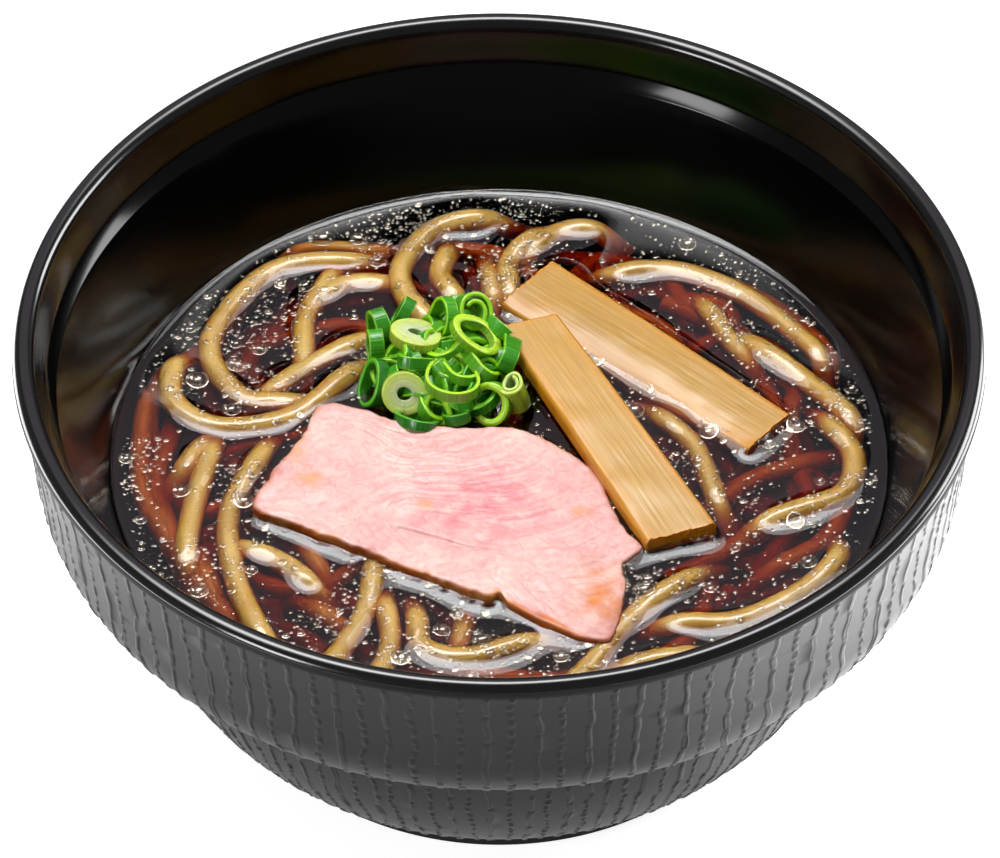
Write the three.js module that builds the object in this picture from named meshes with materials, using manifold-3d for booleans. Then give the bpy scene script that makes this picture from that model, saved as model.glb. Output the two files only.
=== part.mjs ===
// Ramen in a two-tier bowl: soy broth, noodles, a slice of roast pork, two strips of bamboo shoot
// and a heap of sliced spring onion. Millimetres, +Z up; the origin is the middle of the foot's
// underside. Everything in the bowl keeps a small gap to its neighbours.

import Module from 'manifold-3d';
import * as THREE from 'three';
import { mergeVertices } from 'three/addons/utils/BufferGeometryUtils.js';

// Driving dimensions of the bowl
const RIM_RADIUS = 95;
const RIM_HEIGHT = 87.8;
const LIP_WIDTH = 4.6;
const UPPER_TIER_RADIUS = 91.6;
const STEP_HEIGHT = 46.3;
const LOWER_TIER_RADIUS = 77.2;
const LOWER_TIER_FOOT_RADIUS = 59.6;
const FOOT_RADIUS = 54.4;
const FOOT_INNER_RADIUS = 48.5;
const FOOT_HEIGHT = 7.1;
const FOOT_RECESS = 3.4;
const INNER_RING_RADIUS = 87;
const INNER_RING_HEIGHT = 77;
const FLOOR_HEIGHT = 13.5;
const STRAIGHT_WALL_RADIUS = 85;
const STRAIGHT_WALL_TOP = 72.6;
const ROUND_SEGMENTS = 48;

// Driving dimensions of the food
const GAP = 0.4;
const SOUP_LEVEL = 53.7;
const SOUP_RADIUS = 76.3;
const MENISCUS_RISE = 0.9;
const MENISCUS_WIDTH = 3;
const NOODLE_DIAMETER = 4.6;
const NOODLE_SIDES = 6;
const NOODLE_STEP = 9;
const NOODLE_CROWN = 0.9;
const HEAP_TOP = 48.8;
const HEAP_RADIUS = 67;
const HEAP_FOOT = 21;
const HEAP_SEGMENTS = 24;
const BURIED_HEIGHT = 46.2;
const RUN_OUT = 6;
const PORK_TOP = 57.2;
const PORK_THICKNESS = 3.9;
const PORK_CROWN = 0.4;
const PORK_DROOP = 1.3;
const MENMA_THICKNESS = 4.1;
const ONION_HEAP_TOP = 60.2;
const ONION_HEAP_FOOT = 51.5;

const wasm = await Module();
wasm.setup();

// ---------- closed meshes to solids and back ----------

function toSolid(geometry) {
  const bare = geometry.clone();
  bare.deleteAttribute('normal');
  bare.deleteAttribute('uv');
  const merged = mergeVertices(bare, 1e-4);
  const place = merged.attributes.position;
  const corners = [];
  for (let i = 0; i < merged.index.count; i += 3) {
    const [a, b, c] = [0, 1, 2].map((k) => merged.index.getX(i + k));
    if (a !== b && b !== c && c !== a) corners.push(a, b, c);
  }
  if (signedVolume(place, corners) < 0) corners.reverse();
  return new wasm.Manifold(new wasm.Mesh({
    numProp: 3,
    vertProperties: Float32Array.from(place.array),
    triVerts: Uint32Array.from(corners),
  }));
}

function signedVolume(place, corners) {
  const [a, b, c] = [new THREE.Vector3(), new THREE.Vector3(), new THREE.Vector3()];
  let volume = 0;
  for (let i = 0; i < corners.length; i += 3) {
    a.fromBufferAttribute(place, corners[i]);
    b.fromBufferAttribute(place, corners[i + 1]);
    c.fromBufferAttribute(place, corners[i + 2]);
    volume += a.dot(b.cross(c)) / 6;
  }
  return volume;
}

function toGeometry(solid) {
  const mesh = solid.getMesh();
  const geometry = new THREE.BufferGeometry();
  geometry.setAttribute('position', new THREE.BufferAttribute(mesh.vertProperties, mesh.numProp));
  geometry.setIndex(new THREE.BufferAttribute(mesh.triVerts, 1));
  geometry.computeVertexNormals();
  return geometry;
}

// Joins solids into one.
function join(solids) {
  return solids.reduce((whole, solid) => whole.add(solid));
}

// The biggest body of a solid: cutting can leave loose scraps, which are dropped.
function largest(solid) {
  return solid.decompose().reduce((best, body) => (body.volume() > best.volume() ? body : best));
}

// ---------- the bowl ----------

// A curve in the (radius, height) half plane, turned round the bowl's axis.
function turned(points, segments = ROUND_SEGMENTS) {
  return new THREE.LatheGeometry(points, segments).rotateX(Math.PI / 2);
}

// The inner wall from under the lip down to the middle of the floor.
function innerWall() {
  const wall = new THREE.Path();
  wall.moveTo(RIM_RADIUS - LIP_WIDTH, RIM_HEIGHT - 1.4);
  wall.bezierCurveTo(89.6, 84, 88.9, 80, INNER_RING_RADIUS, INNER_RING_HEIGHT);
  wall.quadraticCurveTo(86.2, 75.7, STRAIGHT_WALL_RADIUS, STRAIGHT_WALL_TOP);
  wall.lineTo(SOUP_RADIUS, SOUP_LEVEL);
  wall.bezierCurveTo(68, 36, 66, 15, 28, 14);
  wall.lineTo(0, FLOOR_HEIGHT);
  return wall.getPoints(3);
}

// The outside, from the middle of the foot's recess up over both tiers to under the lip.
function outerWall() {
  const outside = new THREE.Path();
  outside.moveTo(0, FOOT_RECESS);
  outside.lineTo(FOOT_INNER_RADIUS, FOOT_RECESS);
  outside.lineTo(FOOT_INNER_RADIUS + 0.8, 0);
  outside.lineTo(FOOT_RADIUS, 0);
  outside.lineTo(FOOT_RADIUS, FOOT_HEIGHT - 0.7);
  outside.lineTo(LOWER_TIER_FOOT_RADIUS, FOOT_HEIGHT);
  outside.bezierCurveTo(68.3, 14.5, 74.6, 28.5, LOWER_TIER_RADIUS, STEP_HEIGHT);
  outside.bezierCurveTo(84, 47.2, 90.9, 53.2, UPPER_TIER_RADIUS, 62);
  outside.quadraticCurveTo(92.2, 73, RIM_RADIUS - 0.7, RIM_HEIGHT - 2.7);
  return outside.getPoints(4);
}

function lip() {
  const bead = new THREE.Path();
  bead.moveTo(RIM_RADIUS - 0.7, RIM_HEIGHT - 2.7);
  bead.bezierCurveTo(95.3, 85.5, 95.2, 87.3, 93.4, RIM_HEIGHT);
  bead.quadraticCurveTo(91.2, 88, RIM_RADIUS - LIP_WIDTH, RIM_HEIGHT - 1.4);
  return bead.getPoints(3);
}

function bowl() {
  return toSolid(turned([...outerWall(), ...lip().slice(1), ...innerWall().slice(1)]));
}

// ---------- the noodles ----------

// Centre lines of the noodles that show, on the soup, each with how far its top stands proud of
// the usual crown. The two ends dive into the heap.
const NOODLES = [
  { rise: 0.6, route: [[-29, 56], [-45, 54], [-56, 39], [-58, 29], [-51, 17], [-40, 15]] },
  { rise: 0.8, route: [[-65, 25], [-65, 16], [-57, 9], [-42, 11], [-29, 24]] },
  { rise: 0.4, route: [[-46, 18], [-38, 26], [-28, 33]] },
  { rise: 0, route: [[-39, 27], [-39, 40], [-34, 52]] },
  { rise: 0.2, route: [[-36, 46], [-31, 50], [-23, 50]] },
  { rise: 1.4, route: [[-3, 68], [-13, 65], [-20, 53], [-19, 46], [-15, 39]] },
  { rise: 0.6, route: [[-11, 57], [-12, 52], [-9, 46]] },
  { rise: 0.6, route: [[2, 47], [2, 56], [7, 63]] },
  { rise: 0.2, route: [[6, 59], [12, 65], [19, 66]] },
  { rise: 0.2, route: [[24, 53], [35, 54], [49, 47], [60, 35], [64, 29]] },
  { rise: -0.5, route: [[42, 43], [46, 35], [49, 30]] },
  { rise: 0.4, route: [[51, 32], [62, 21], [70, 10]] },
  { rise: 0.2, route: [[66, 9], [70, 1], [68, -9], [53, -17]] },
  { rise: -0.4, route: [[32, 12], [38, 5], [43, -12]] },
  { rise: 0.3, route: [[-47, 1], [-53, -16], [-51, -34], [-45, -50]] },
  { rise: -0.2, route: [[-57, 2], [-60, -13], [-61, -27]] },
  { rise: 0.1, route: [[-49, -25], [-43, -28], [-37, -34]] },
  { rise: 0.3, route: [[-24, -29], [-26, -42], [-30, -51]] },
  { rise: 0.1, route: [[-22, -41], [-21, -49], [-22, -55]] },
  { rise: 0.3, route: [[-16, -44], [-15, -51], [-7, -54], [6, -50]] },
  { rise: 0.4, route: [[17, -57], [26, -43], [37, -33]] },
  { rise: 0.2, route: [[34, -45], [46, -44], [60, -35], [66, -27]] },
];

// A noodle's centre line: its route at the height of its crown, then a dive at each end.
function noodleCurve({ rise, route }) {
  const height = SOUP_LEVEL + NOODLE_CROWN + rise - NOODLE_DIAMETER / 2;
  const places = route.map(([x, y]) => new THREE.Vector3(x, y, height));
  const first = diveFrom(places[1], places[0]);
  const last = diveFrom(places[places.length - 2], places[places.length - 1]);
  return new THREE.CatmullRomCurve3([first, ...places, last]);
}

// The buried end of a noodle: on from `end`, but inside the heap.
function diveFrom(before, end) {
  const ahead = end.clone().sub(before).setLength(RUN_OUT).add(end);
  const reach = Math.hypot(ahead.x, ahead.y);
  const limit = HEAP_RADIUS - NOODLE_DIAMETER;
  const inward = Math.min(1, limit / reach);
  return new THREE.Vector3(ahead.x * inward, ahead.y * inward, BURIED_HEIGHT);
}

function noodle(strand, swell) {
  const section = new THREE.Shape();
  const radius = NOODLE_DIAMETER / 2 + 1.2 * swell;
  for (let i = 0; i < NOODLE_SIDES; i += 1) {
    const angle = (2 * Math.PI * i) / NOODLE_SIDES;
    const corner = [radius * Math.cos(angle), radius * Math.sin(angle)];
    if (i === 0) section.moveTo(...corner);
    else section.lineTo(...corner);
  }
  const curve = noodleCurve(strand);
  const steps = Math.round(curve.getLength() / NOODLE_STEP);
  return toSolid(new THREE.ExtrudeGeometry(section, { steps, extrudePath: curve }));
}

// The mass of noodles under the soup.
function noodleHeap(swell) {
  const outline = new THREE.Path();
  outline.moveTo(0, HEAP_FOOT - swell);
  outline.lineTo(38 + swell, HEAP_FOOT - swell);
  outline.quadraticCurveTo(60 + swell, 24 - swell, HEAP_RADIUS + swell, 42);
  outline.quadraticCurveTo(HEAP_RADIUS + swell, HEAP_TOP - 0.6 + swell, 63, HEAP_TOP - 0.3 + swell);
  outline.lineTo(0, HEAP_TOP + swell);
  return toSolid(turned(outline.getPoints(3), HEAP_SEGMENTS));
}

function noodles(swell = 0) {
  return join([noodleHeap(swell), ...NOODLES.map((strand) => noodle(strand, swell))]);
}

// ---------- pork and bamboo shoots ----------

// The slice's outline seen from above, its corners joined by a smooth closed curve.
const PORK_CORNERS = [
  [-35, 11], [-27, 10], [-18, 5.5], [-4, 4], [6, 3.5], [17, -5], [22, -16], [27, -27.4],
  [24.2, -38], [20, -51], [9, -48.5], [-10, -37], [-28, -28], [-47, -18], [-45, -7], [-39, 4],
];
const PORK_MIDDLE = [-10, -17];
const PORK_STEPS = 28;

// A disc is turned and then stretched out to the slice's outline.
function pork(swell = 0) {
  const outline = new THREE.CatmullRomCurve3(
    PORK_CORNERS.map(([x, y]) => new THREE.Vector3(x, y, 0)), true,
  ).getPoints(PORK_STEPS);
  const depth = PORK_THICKNESS + 2 * swell;
  const profile = [[0, -depth], [0.6, -depth], [0.97, -depth], [1, -depth * 0.75], [1, -0.9],
    [0.97, -0.2], [0.85, 0], [0.5, 0], [0, 0]].map(([r, z]) => new THREE.Vector2(r, z));
  const slice = turned(profile, PORK_STEPS);
  const place = slice.attributes.position;
  for (let i = 0; i < place.count; i += 1) {
    const reach = Math.hypot(place.getX(i), place.getY(i));
    const angle = Math.atan2(place.getY(i), place.getX(i));
    const step = Math.round((angle / (2 * Math.PI)) * PORK_STEPS + PORK_STEPS) % PORK_STEPS;
    const edge = outline[step];
    const dx = edge.x - PORK_MIDDLE[0];
    const dy = edge.y - PORK_MIDDLE[1];
    const grown = reach * (1 + (1.15 * swell) / Math.hypot(dx, dy));
    const x = PORK_MIDDLE[0] + dx * grown;
    const y = PORK_MIDDLE[1] + dy * grown;
    place.setXYZ(i, x, y, place.getZ(i) + PORK_TOP + swell + porkSag(x, y));
  }
  return toSolid(slice);
}

// The slice is a little crowned and its right-hand corner hangs into the soup.
function porkSag(x, y) {
  const reach = PORK_CORNERS[7][0] - PORK_MIDDLE[0];
  const along = Math.max(0, x - PORK_MIDDLE[0]) / reach;
  return PORK_CROWN * Math.cos(y / 14) - PORK_DROOP * along ** 2;
}

// A strip of bamboo shoot: a box from `from` to `to`, which are the ends of the middle line of its
// upper face, arched a little. `widths` are its widths at the two ends, `sag` is how far one long
// side hangs, and `skew` slants the cut ends.
const FRONT_MENMA = {
  from: [6, 31, 61.6], to: [35.6, -24.4, 57.6], arch: 0.5, widths: [12, 14.6], sag: 0.3, skew: 2.2,
};
const BACK_MENMA = {
  from: [5.6, 47.4, 56.6], to: [53.4, 5.7, 55.6], arch: 0.3, widths: [16.5, 13.2], sag: 2.4, skew: 0,
};
const MENMA_STEPS = 6;

function menma(strip, swell = 0) {
  const from = new THREE.Vector3(...strip.from);
  const to = new THREE.Vector3(...strip.to);
  const length = from.distanceTo(to);
  const along = to.clone().sub(from).normalize();
  const across = new THREE.Vector3(-along.y, along.x, 0).normalize();
  const up = new THREE.Vector3().crossVectors(along, across);
  const box = new THREE.BoxGeometry(1, 1, 1, MENMA_STEPS, 4, 1);
  const place = box.attributes.position;
  const point = new THREE.Vector3();
  for (let i = 0; i < place.count; i += 1) {
    const u = place.getX(i) + 0.5;
    const v = place.getY(i);
    const width = THREE.MathUtils.lerp(strip.widths[0], strip.widths[1], u) + 2 * swell;
    const slope = v < 0 ? strip.sag * 4 * v * v * Math.sin(Math.PI * u) ** 0.5 : 0;
    const bend = strip.arch * Math.sin(Math.PI * u) - slope;
    const level = (place.getZ(i) - 0.5) * (MENMA_THICKNESS + 2 * swell) + swell;
    point.copy(from);
    point.addScaledVector(along, u * length + (u - 0.5) * 2 * swell + strip.skew * v);
    point.addScaledVector(across, v * width);
    point.addScaledVector(up, level + bend);
    place.setXYZ(i, point.x, point.y, point.z);
  }
  return toSolid(box);
}

// ---------- spring onion ----------

// Cut rings: middle, outer radius, wall, length, then the lean (from upright) and its direction.
const ONION_RINGS = [
  { at: [-18.9, 14.3, 58.3], radius: 4.5, wall: 3.2, length: 2.4, lean: 45, toward: -90 },
  { at: [-17, 26.8, 61.2], radius: 5.2, wall: 4.2, length: 2, lean: 16, toward: 80 },
  { at: [-5.9, 31.2, 63.2], radius: 4.7, wall: 1.2, length: 3, lean: 38, toward: -80 },
  { at: [-10.6, 32.4, 61.8], radius: 3.8, wall: 1, length: 2.6, lean: 60, toward: 185 },
  { at: [-4.6, 24.8, 63.4], radius: 5.6, wall: 1.2, length: 2.4, lean: 48, toward: 225 },
  { at: [-9.4, 14.6, 61], radius: 6.2, wall: 1, length: 2.6, lean: 8, toward: 90 },
  { at: [3.4, 15.6, 58.6], radius: 3, wall: 0.9, length: 6, lean: 22, toward: 110 },
  { at: [1, 23, 60.2], radius: 4.2, wall: 1, length: 3.2, lean: 84, toward: 15 },
  { at: [-24, 29.6, 58.4], radius: 3.8, wall: 1, length: 3, lean: 80, toward: 205 },
  { at: [-19.6, 35.4, 58.6], radius: 3.6, wall: 1, length: 3, lean: 78, toward: 160 },
  { at: [-1.6, 13.6, 57.1], radius: 4, wall: 1.2, length: 2.6, lean: 20, toward: -60 },
  { at: [-16, 21.2, 60.2], radius: 3.7, wall: 1, length: 2, lean: 40, toward: 90 },
  { at: [-10.6, 11, 56.6], radius: 3.4, wall: 1, length: 2.6, lean: 30, toward: -60 },
  { at: [-22.6, 22.4, 57.6], radius: 4.2, wall: 1.2, length: 2.4, lean: 35, toward: 200 },
];
const RING_SIDES = 9;

function onionRing({ at, radius, wall, length, lean, toward }) {
  const inner = radius - wall;
  const half = length / 2;
  const profile = [[inner, -half], [radius, -half], [radius, half], [inner, half], [inner, -half]];
  const ring = turned(profile.map(([r, z]) => new THREE.Vector2(r, z)), RING_SIDES);
  const { degToRad } = THREE.MathUtils;
  ring.rotateY(degToRad(lean));
  ring.rotateZ(degToRad(toward));
  ring.translate(...at);
  return toSolid(ring);
}

// The close-packed middle of the heap, a squashed ball with its lower part in the soup.
function onionHeap(swell) {
  const heap = new THREE.SphereGeometry(1, 14, 6);
  heap.rotateX(Math.PI / 2);
  const height = ONION_HEAP_TOP - ONION_HEAP_FOOT;
  heap.scale(14 + swell, 13 + swell, height / 2 + swell);
  heap.translate(-10, 23.4, ONION_HEAP_FOOT + height / 2);
  return toSolid(heap);
}

// ---------- the broth ----------

// Half the broth's section: the flat top, the meniscus that climbs the wall, and the wall's shape
// a gap inside it.
function brothProfile() {
  const wall = innerWall().filter((point) => point.y <= SOUP_LEVEL + 0.01);
  const side = wall.map((point, i) => {
    const before = wall[Math.max(i - 1, 0)];
    const after = wall[Math.min(i + 1, wall.length - 1)];
    const inward = new THREE.Vector2(after.y - before.y, before.x - after.x).setLength(GAP);
    return point.clone().add(inward);
  });
  const edge = side[0];
  side[side.length - 1].x = 0;
  const lean = (STRAIGHT_WALL_RADIUS - SOUP_RADIUS) / (STRAIGHT_WALL_TOP - SOUP_LEVEL);
  const top = [
    new THREE.Vector2(0, SOUP_LEVEL),
    new THREE.Vector2(edge.x - MENISCUS_WIDTH, SOUP_LEVEL),
    new THREE.Vector2(edge.x - MENISCUS_WIDTH / 3, SOUP_LEVEL + MENISCUS_RISE / 3),
    new THREE.Vector2(edge.x + lean * MENISCUS_RISE, edge.y + MENISCUS_RISE),
  ];
  return [...top, ...side];
}

// ---------- putting it together ----------

const food = new THREE.Group();

function serve(name, solid, color, roughness) {
  const material = new THREE.MeshStandardMaterial({ color, roughness, metalness: 0 });
  const mesh = new THREE.Mesh(toGeometry(solid), material);
  mesh.name = name;
  food.add(mesh);
}

const strips = [FRONT_MENMA, BACK_MENMA];
const [frontStrip, backStrip] = strips.map((strip) => menma(strip));
const roomForToppings = join([pork(GAP), ...strips.map((strip) => menma(strip, GAP))]);
const onionSolid = join([onionHeap(0), ...ONION_RINGS.map(onionRing)]).subtract(roomForToppings);
const roomForHeap = roomForToppings.add(onionHeap(GAP));
const brothSolid = toSolid(turned(brothProfile()));

serve('bowl', bowl(), 0x2f2f30, 0.4);
serve('broth', largest(brothSolid.subtract(noodles(GAP)).subtract(roomForHeap)), 0x3a1a14, 0.1);
serve('noodles', largest(noodles().subtract(roomForHeap)), 0xd9a852, 0.4);
serve('pork', pork(), 0xe3a9a3, 0.5);
serve('menma_front', frontStrip, 0xdcae66, 0.4);
serve('menma_back', backStrip, 0xd79a50, 0.4);
serve('spring_onion', largest(onionSolid), 0x5fae2b, 0.4);

export default food;
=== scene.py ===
"""A bowl of soy ramen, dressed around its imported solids.

A two-tier bowl of black moulded resin holds dark soy broth with noodles, a slice of roast pork, two
strips of bamboo shoot and a heap of sliced spring onion. Sizes in the classes are millimetres, in
the frame's own axes: +Z up, the origin under the middle of the foot. Meshes are made in metres.
"""

import logging
import math
from collections.abc import Iterable, Sequence
from dataclasses import dataclass
from enum import Enum, IntEnum

import bpy
import numpy as np
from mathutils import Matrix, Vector
from mathutils.bvhtree import BVHTree

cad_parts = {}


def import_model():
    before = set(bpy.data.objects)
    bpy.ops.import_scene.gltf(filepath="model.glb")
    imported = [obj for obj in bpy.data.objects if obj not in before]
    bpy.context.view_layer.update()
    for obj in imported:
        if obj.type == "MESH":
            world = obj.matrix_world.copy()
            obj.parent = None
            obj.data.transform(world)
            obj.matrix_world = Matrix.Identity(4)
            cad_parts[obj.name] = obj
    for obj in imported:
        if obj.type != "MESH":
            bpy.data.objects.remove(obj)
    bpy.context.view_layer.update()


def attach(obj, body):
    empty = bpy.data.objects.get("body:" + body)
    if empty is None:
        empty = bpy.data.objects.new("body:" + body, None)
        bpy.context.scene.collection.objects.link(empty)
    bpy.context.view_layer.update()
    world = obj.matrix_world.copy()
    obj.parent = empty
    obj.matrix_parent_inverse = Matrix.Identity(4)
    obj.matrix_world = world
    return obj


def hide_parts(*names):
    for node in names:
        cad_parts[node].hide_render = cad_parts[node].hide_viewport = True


MM = 0.001
BODY = "root"
MIX = {"data_type": "RGBA"}
MULTIPLY = {"data_type": "RGBA", "blend_type": "MULTIPLY"}
Place = tuple[float, float]
Spot = tuple[float, float, float]
Stops = tuple[tuple[float, str], ...]
log = logging.getLogger("ramen")


# ---------- shared helpers: colour, nodes, meshes, curves, noise ----------


def linear(hex_colour: str) -> tuple[float, float, float, float]:
    """Turn an sRGB hex colour into a linear one.

    Args:
        hex_colour: six hex digits after a "#".

    Returns:
        Linear red, green, blue and an alpha of 1.
    """
    digits = hex_colour.lstrip("#")
    channels = [int(digits[i:i + 2], 16) / 255 for i in (0, 2, 4)]
    red, green, blue = (c / 12.92 if c <= 0.04045 else ((c + 0.055) / 1.055) ** 2.4 for c in channels)
    return (red, green, blue, 1.0)


def add_node(
    tree: bpy.types.NodeTree,
    kind: str,
    inputs: dict[str | int, object] | None = None,
    settings: dict[str, object] | None = None,
) -> bpy.types.Node:
    """Add one node with its settings, values and links.

    Args:
        tree: the node tree to add it to.
        kind: the node's Blender type name.
        inputs: by socket name or number, a value to set or another node's output to link.
        settings: the node's own properties.

    Returns:
        The new node.
    """
    node = tree.nodes.new(kind)
    for name, value in (settings or {}).items():
        setattr(node, name, value)
    for name, value in (inputs or {}).items():
        if isinstance(value, bpy.types.NodeSocket):
            tree.links.new(value, node.inputs[name])
        else:
            node.inputs[name].default_value = value
    return node


def ramp(tree: bpy.types.NodeTree, factor: bpy.types.NodeSocket, stops: Stops) -> bpy.types.NodeSocket:
    """Colour a factor by hex colours at places from 0 to 1.

    Args:
        tree: the material's node tree.
        factor: the output that picks the place.
        stops: (place, hex colour), rising.

    Returns:
        The colour output.
    """
    node = add_node(tree, "ShaderNodeValToRGB", {"Fac": factor})
    elements = node.color_ramp.elements
    while len(elements) < len(stops):
        elements.new(0.5)
    for element, (place, colour) in zip(elements, stops):
        element.position = place
        element.color = linear(colour)
    return node.outputs["Color"]


def node_group(name: str, inputs: dict[str, str], output: str) -> tuple[bpy.types.NodeTree, object]:
    """Start a Geometry Nodes tree.

    Args:
        name: the tree's name.
        inputs: the kind of socket by the input's name, such as Float.
        output: the name of the geometry that it gives.

    Returns:
        The tree and the outputs of its input node.
    """
    tree = bpy.data.node_groups.new(name, "GeometryNodeTree")
    for label, kind in inputs.items():
        tree.interface.new_socket(label, in_out="INPUT", socket_type="NodeSocket" + kind)
    tree.interface.new_socket(output, in_out="OUTPUT", socket_type="NodeSocketGeometry")
    return tree, add_node(tree, "NodeGroupInput").outputs


def realised(
    source: bpy.types.Object, tree: bpy.types.NodeTree, values: dict[str, object], name: str,
) -> bpy.types.Object:
    """Run a Geometry Nodes tree on a source object and keep only the plain mesh it makes.

    Args:
        source: the object that the tree works on; it is removed.
        tree: the node tree.
        values: the tree's inputs by name.
        name: the name of the new piece.

    Returns:
        The new object, linked to the scene.
    """
    bpy.context.scene.collection.objects.link(source)
    modifier = source.modifiers.new(tree.name, "NODES")
    modifier.node_group = tree
    sockets = {item.name: item.identifier for item in tree.interface.items_tree if item.in_out == "INPUT"}
    for label, value in values.items():
        modifier[sockets[label]] = value
    depsgraph = bpy.context.evaluated_depsgraph_get()
    mesh = bpy.data.meshes.new_from_object(source.evaluated_get(depsgraph), depsgraph=depsgraph)
    mesh.name = name
    source.modifiers.remove(modifier)
    bpy.data.objects.remove(source)
    piece = bpy.data.objects.new(name, mesh)
    bpy.context.scene.collection.objects.link(piece)
    return piece


def mesh_piece(
    name: str,
    points: np.ndarray,
    faces: Iterable[np.ndarray],
    materials: Sequence[bpy.types.Material] = (),
    shading: dict[str, np.ndarray] | None = None,
) -> bpy.types.Object:
    """Make a smooth mesh object from arrays.

    Args:
        name: the piece's name.
        points: corners in millimetres, one row each.
        faces: arrays of corner numbers, each of one face size.
        materials: the piece's finishes.
        shading: values per corner, kept as named attributes for the finishes.

    Returns:
        The object, linked to the scene.
    """
    faces = [np.asarray(f, np.int32) for f in faces]
    sizes = np.concatenate([np.full(len(f), f.shape[1]) for f in faces])
    corners = np.concatenate([f.ravel() for f in faces])
    mesh = bpy.data.meshes.new(name)
    mesh.vertices.add(len(points))
    mesh.vertices.foreach_set("co", (np.asarray(points) * MM).astype(np.float32).ravel())
    mesh.loops.add(len(corners))
    mesh.loops.foreach_set("vertex_index", corners)
    mesh.polygons.add(len(sizes))
    mesh.polygons.foreach_set("loop_start", (np.cumsum(sizes) - sizes).astype(np.int32))
    mesh.update(calc_edges=True)
    mesh.validate()
    mesh.shade_smooth()
    for material in materials:
        mesh.materials.append(material)
    for label, values in (shading or {}).items():
        attribute = mesh.attributes.new(label, "FLOAT", "POINT")
        attribute.data.foreach_set("value", np.asarray(values, np.float32))
    piece = bpy.data.objects.new(name, mesh)
    bpy.context.scene.collection.objects.link(piece)
    return piece


def serve(piece: bpy.types.Object, slot: str, *nodes: str) -> bpy.types.Object:
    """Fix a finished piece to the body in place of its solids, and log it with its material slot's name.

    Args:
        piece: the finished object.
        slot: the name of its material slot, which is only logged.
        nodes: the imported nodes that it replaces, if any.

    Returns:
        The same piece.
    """
    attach(piece, BODY)
    if nodes:
        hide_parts(*nodes)
    triangles = sum(len(face.vertices) - 2 for face in piece.data.polygons)
    log.info("%s: %d triangles, slot %s, for %s", piece.name, triangles, slot, ", ".join(nodes) or "-")
    return piece


def bezier(corners: Sequence[Place], steps: int) -> np.ndarray:
    """Points along a Bezier curve of any degree, its first end left out.

    Args:
        corners: the control points.
        steps: the number of points.

    Returns:
        The points, one row each.
    """
    degree = len(corners) - 1
    t = np.linspace(0, 1, steps + 1)[1:, None]
    terms = [
        math.comb(degree, k) * t ** k * (1 - t) ** (degree - k) * np.array(corner)
        for k, corner in enumerate(corners)
    ]
    return np.sum(terms, axis=0)


def smooth_path(places: Sequence[Sequence[float]], steps: int, closed: bool = False) -> np.ndarray:
    """A centripetal Catmull-Rom curve through places.

    Args:
        places: the points it goes through.
        steps: points made for each stretch between two places.
        closed: whether the curve returns to its start.

    Returns:
        The points along it.
    """
    knots = np.asarray(places, float)
    count = len(knots)
    if closed:
        knots = np.vstack([knots[-1], knots, knots[:2]])
    else:
        knots = np.vstack([2 * knots[0] - knots[1], knots, 2 * knots[-1] - knots[-2]])
    t = (np.arange(steps) / steps)[:, None]
    stretches = []
    for i in range(count if closed else count - 1):
        p0, p1, p2, p3 = knots[i:i + 4]
        d0, d1, d2 = (max(np.linalg.norm(b - a) ** 0.5, 1e-4) for a, b in ((p0, p1), (p1, p2), (p2, p3)))
        leave = ((p1 - p0) / d0 - (p2 - p0) / (d0 + d1) + (p2 - p1) / d1) * d1
        arrive = ((p2 - p1) / d1 - (p3 - p1) / (d1 + d2) + (p3 - p2) / d2) * d1
        turn = -3 * p1 + 3 * p2 - 2 * leave - arrive
        twist = 2 * p1 - 2 * p2 + leave + arrive
        stretches.append(p1 + leave * t + turn * t ** 2 + twist * t ** 3)
    if not closed:
        stretches.append(knots[-2][None, :])
    return np.vstack(stretches)


def travelled(path: np.ndarray) -> np.ndarray:
    """How far along a path each of its points lies."""
    return np.concatenate([[0], np.cumsum(np.linalg.norm(np.diff(path, axis=0), axis=1))])


def resampled(path: np.ndarray, count: int) -> np.ndarray:
    """Space points evenly along a path.

    Args:
        path: the path's points, one row each.
        count: how many to make.

    Returns:
        The new points, the first and the last where they were.
    """
    lengths = travelled(path)
    at = np.linspace(0, lengths[-1], count)
    return np.stack([np.interp(at, lengths, path[:, k]) for k in range(path.shape[1])], axis=1)


def even_steps(path: np.ndarray, step: float) -> np.ndarray:
    """The same path with its points about `step` apart."""
    return resampled(path, max(2, round(travelled(path)[-1] / step) + 1))


def eased(part: np.ndarray) -> np.ndarray:
    """Shares from 0 to 1 with a soft start and a soft end."""
    return part * part * (3 - 2 * part)


def direction(angle: float) -> np.ndarray:
    """The flat unit vector at an angle in radians."""
    return np.array([math.cos(angle), math.sin(angle)])


def value_noise(places: np.ndarray, seed: int) -> np.ndarray:
    """Smooth random values, about -1 to 1, over places given in cells of the pattern.

    Args:
        places: rows of three coordinates.
        seed: picks the pattern.

    Returns:
        One value for each row.
    """
    cell = np.floor(places).astype(np.int64)
    part = places - cell
    part = eased(part)
    total = np.zeros(len(places))
    for corner in np.ndindex(2, 2, 2):
        offset = np.array(corner)
        key = (cell + offset) @ np.array([73856093, 19349663, 83492791]) + seed * 2654435761
        key = (key ^ (key >> 13)) * 1274126177
        value = ((key ^ (key >> 16)) & 0xFFFF) / 32767.5 - 1
        total += np.prod(np.where(offset, part, 1 - part), axis=1) * value
    return total


def rough_noise(places: np.ndarray, seed: int, octaves: int = 3) -> np.ndarray:
    """Value noise with finer and weaker octaves added."""
    return sum(value_noise(places * 2 ** k, seed + k) / 2 ** k for k in range(octaves))


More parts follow.
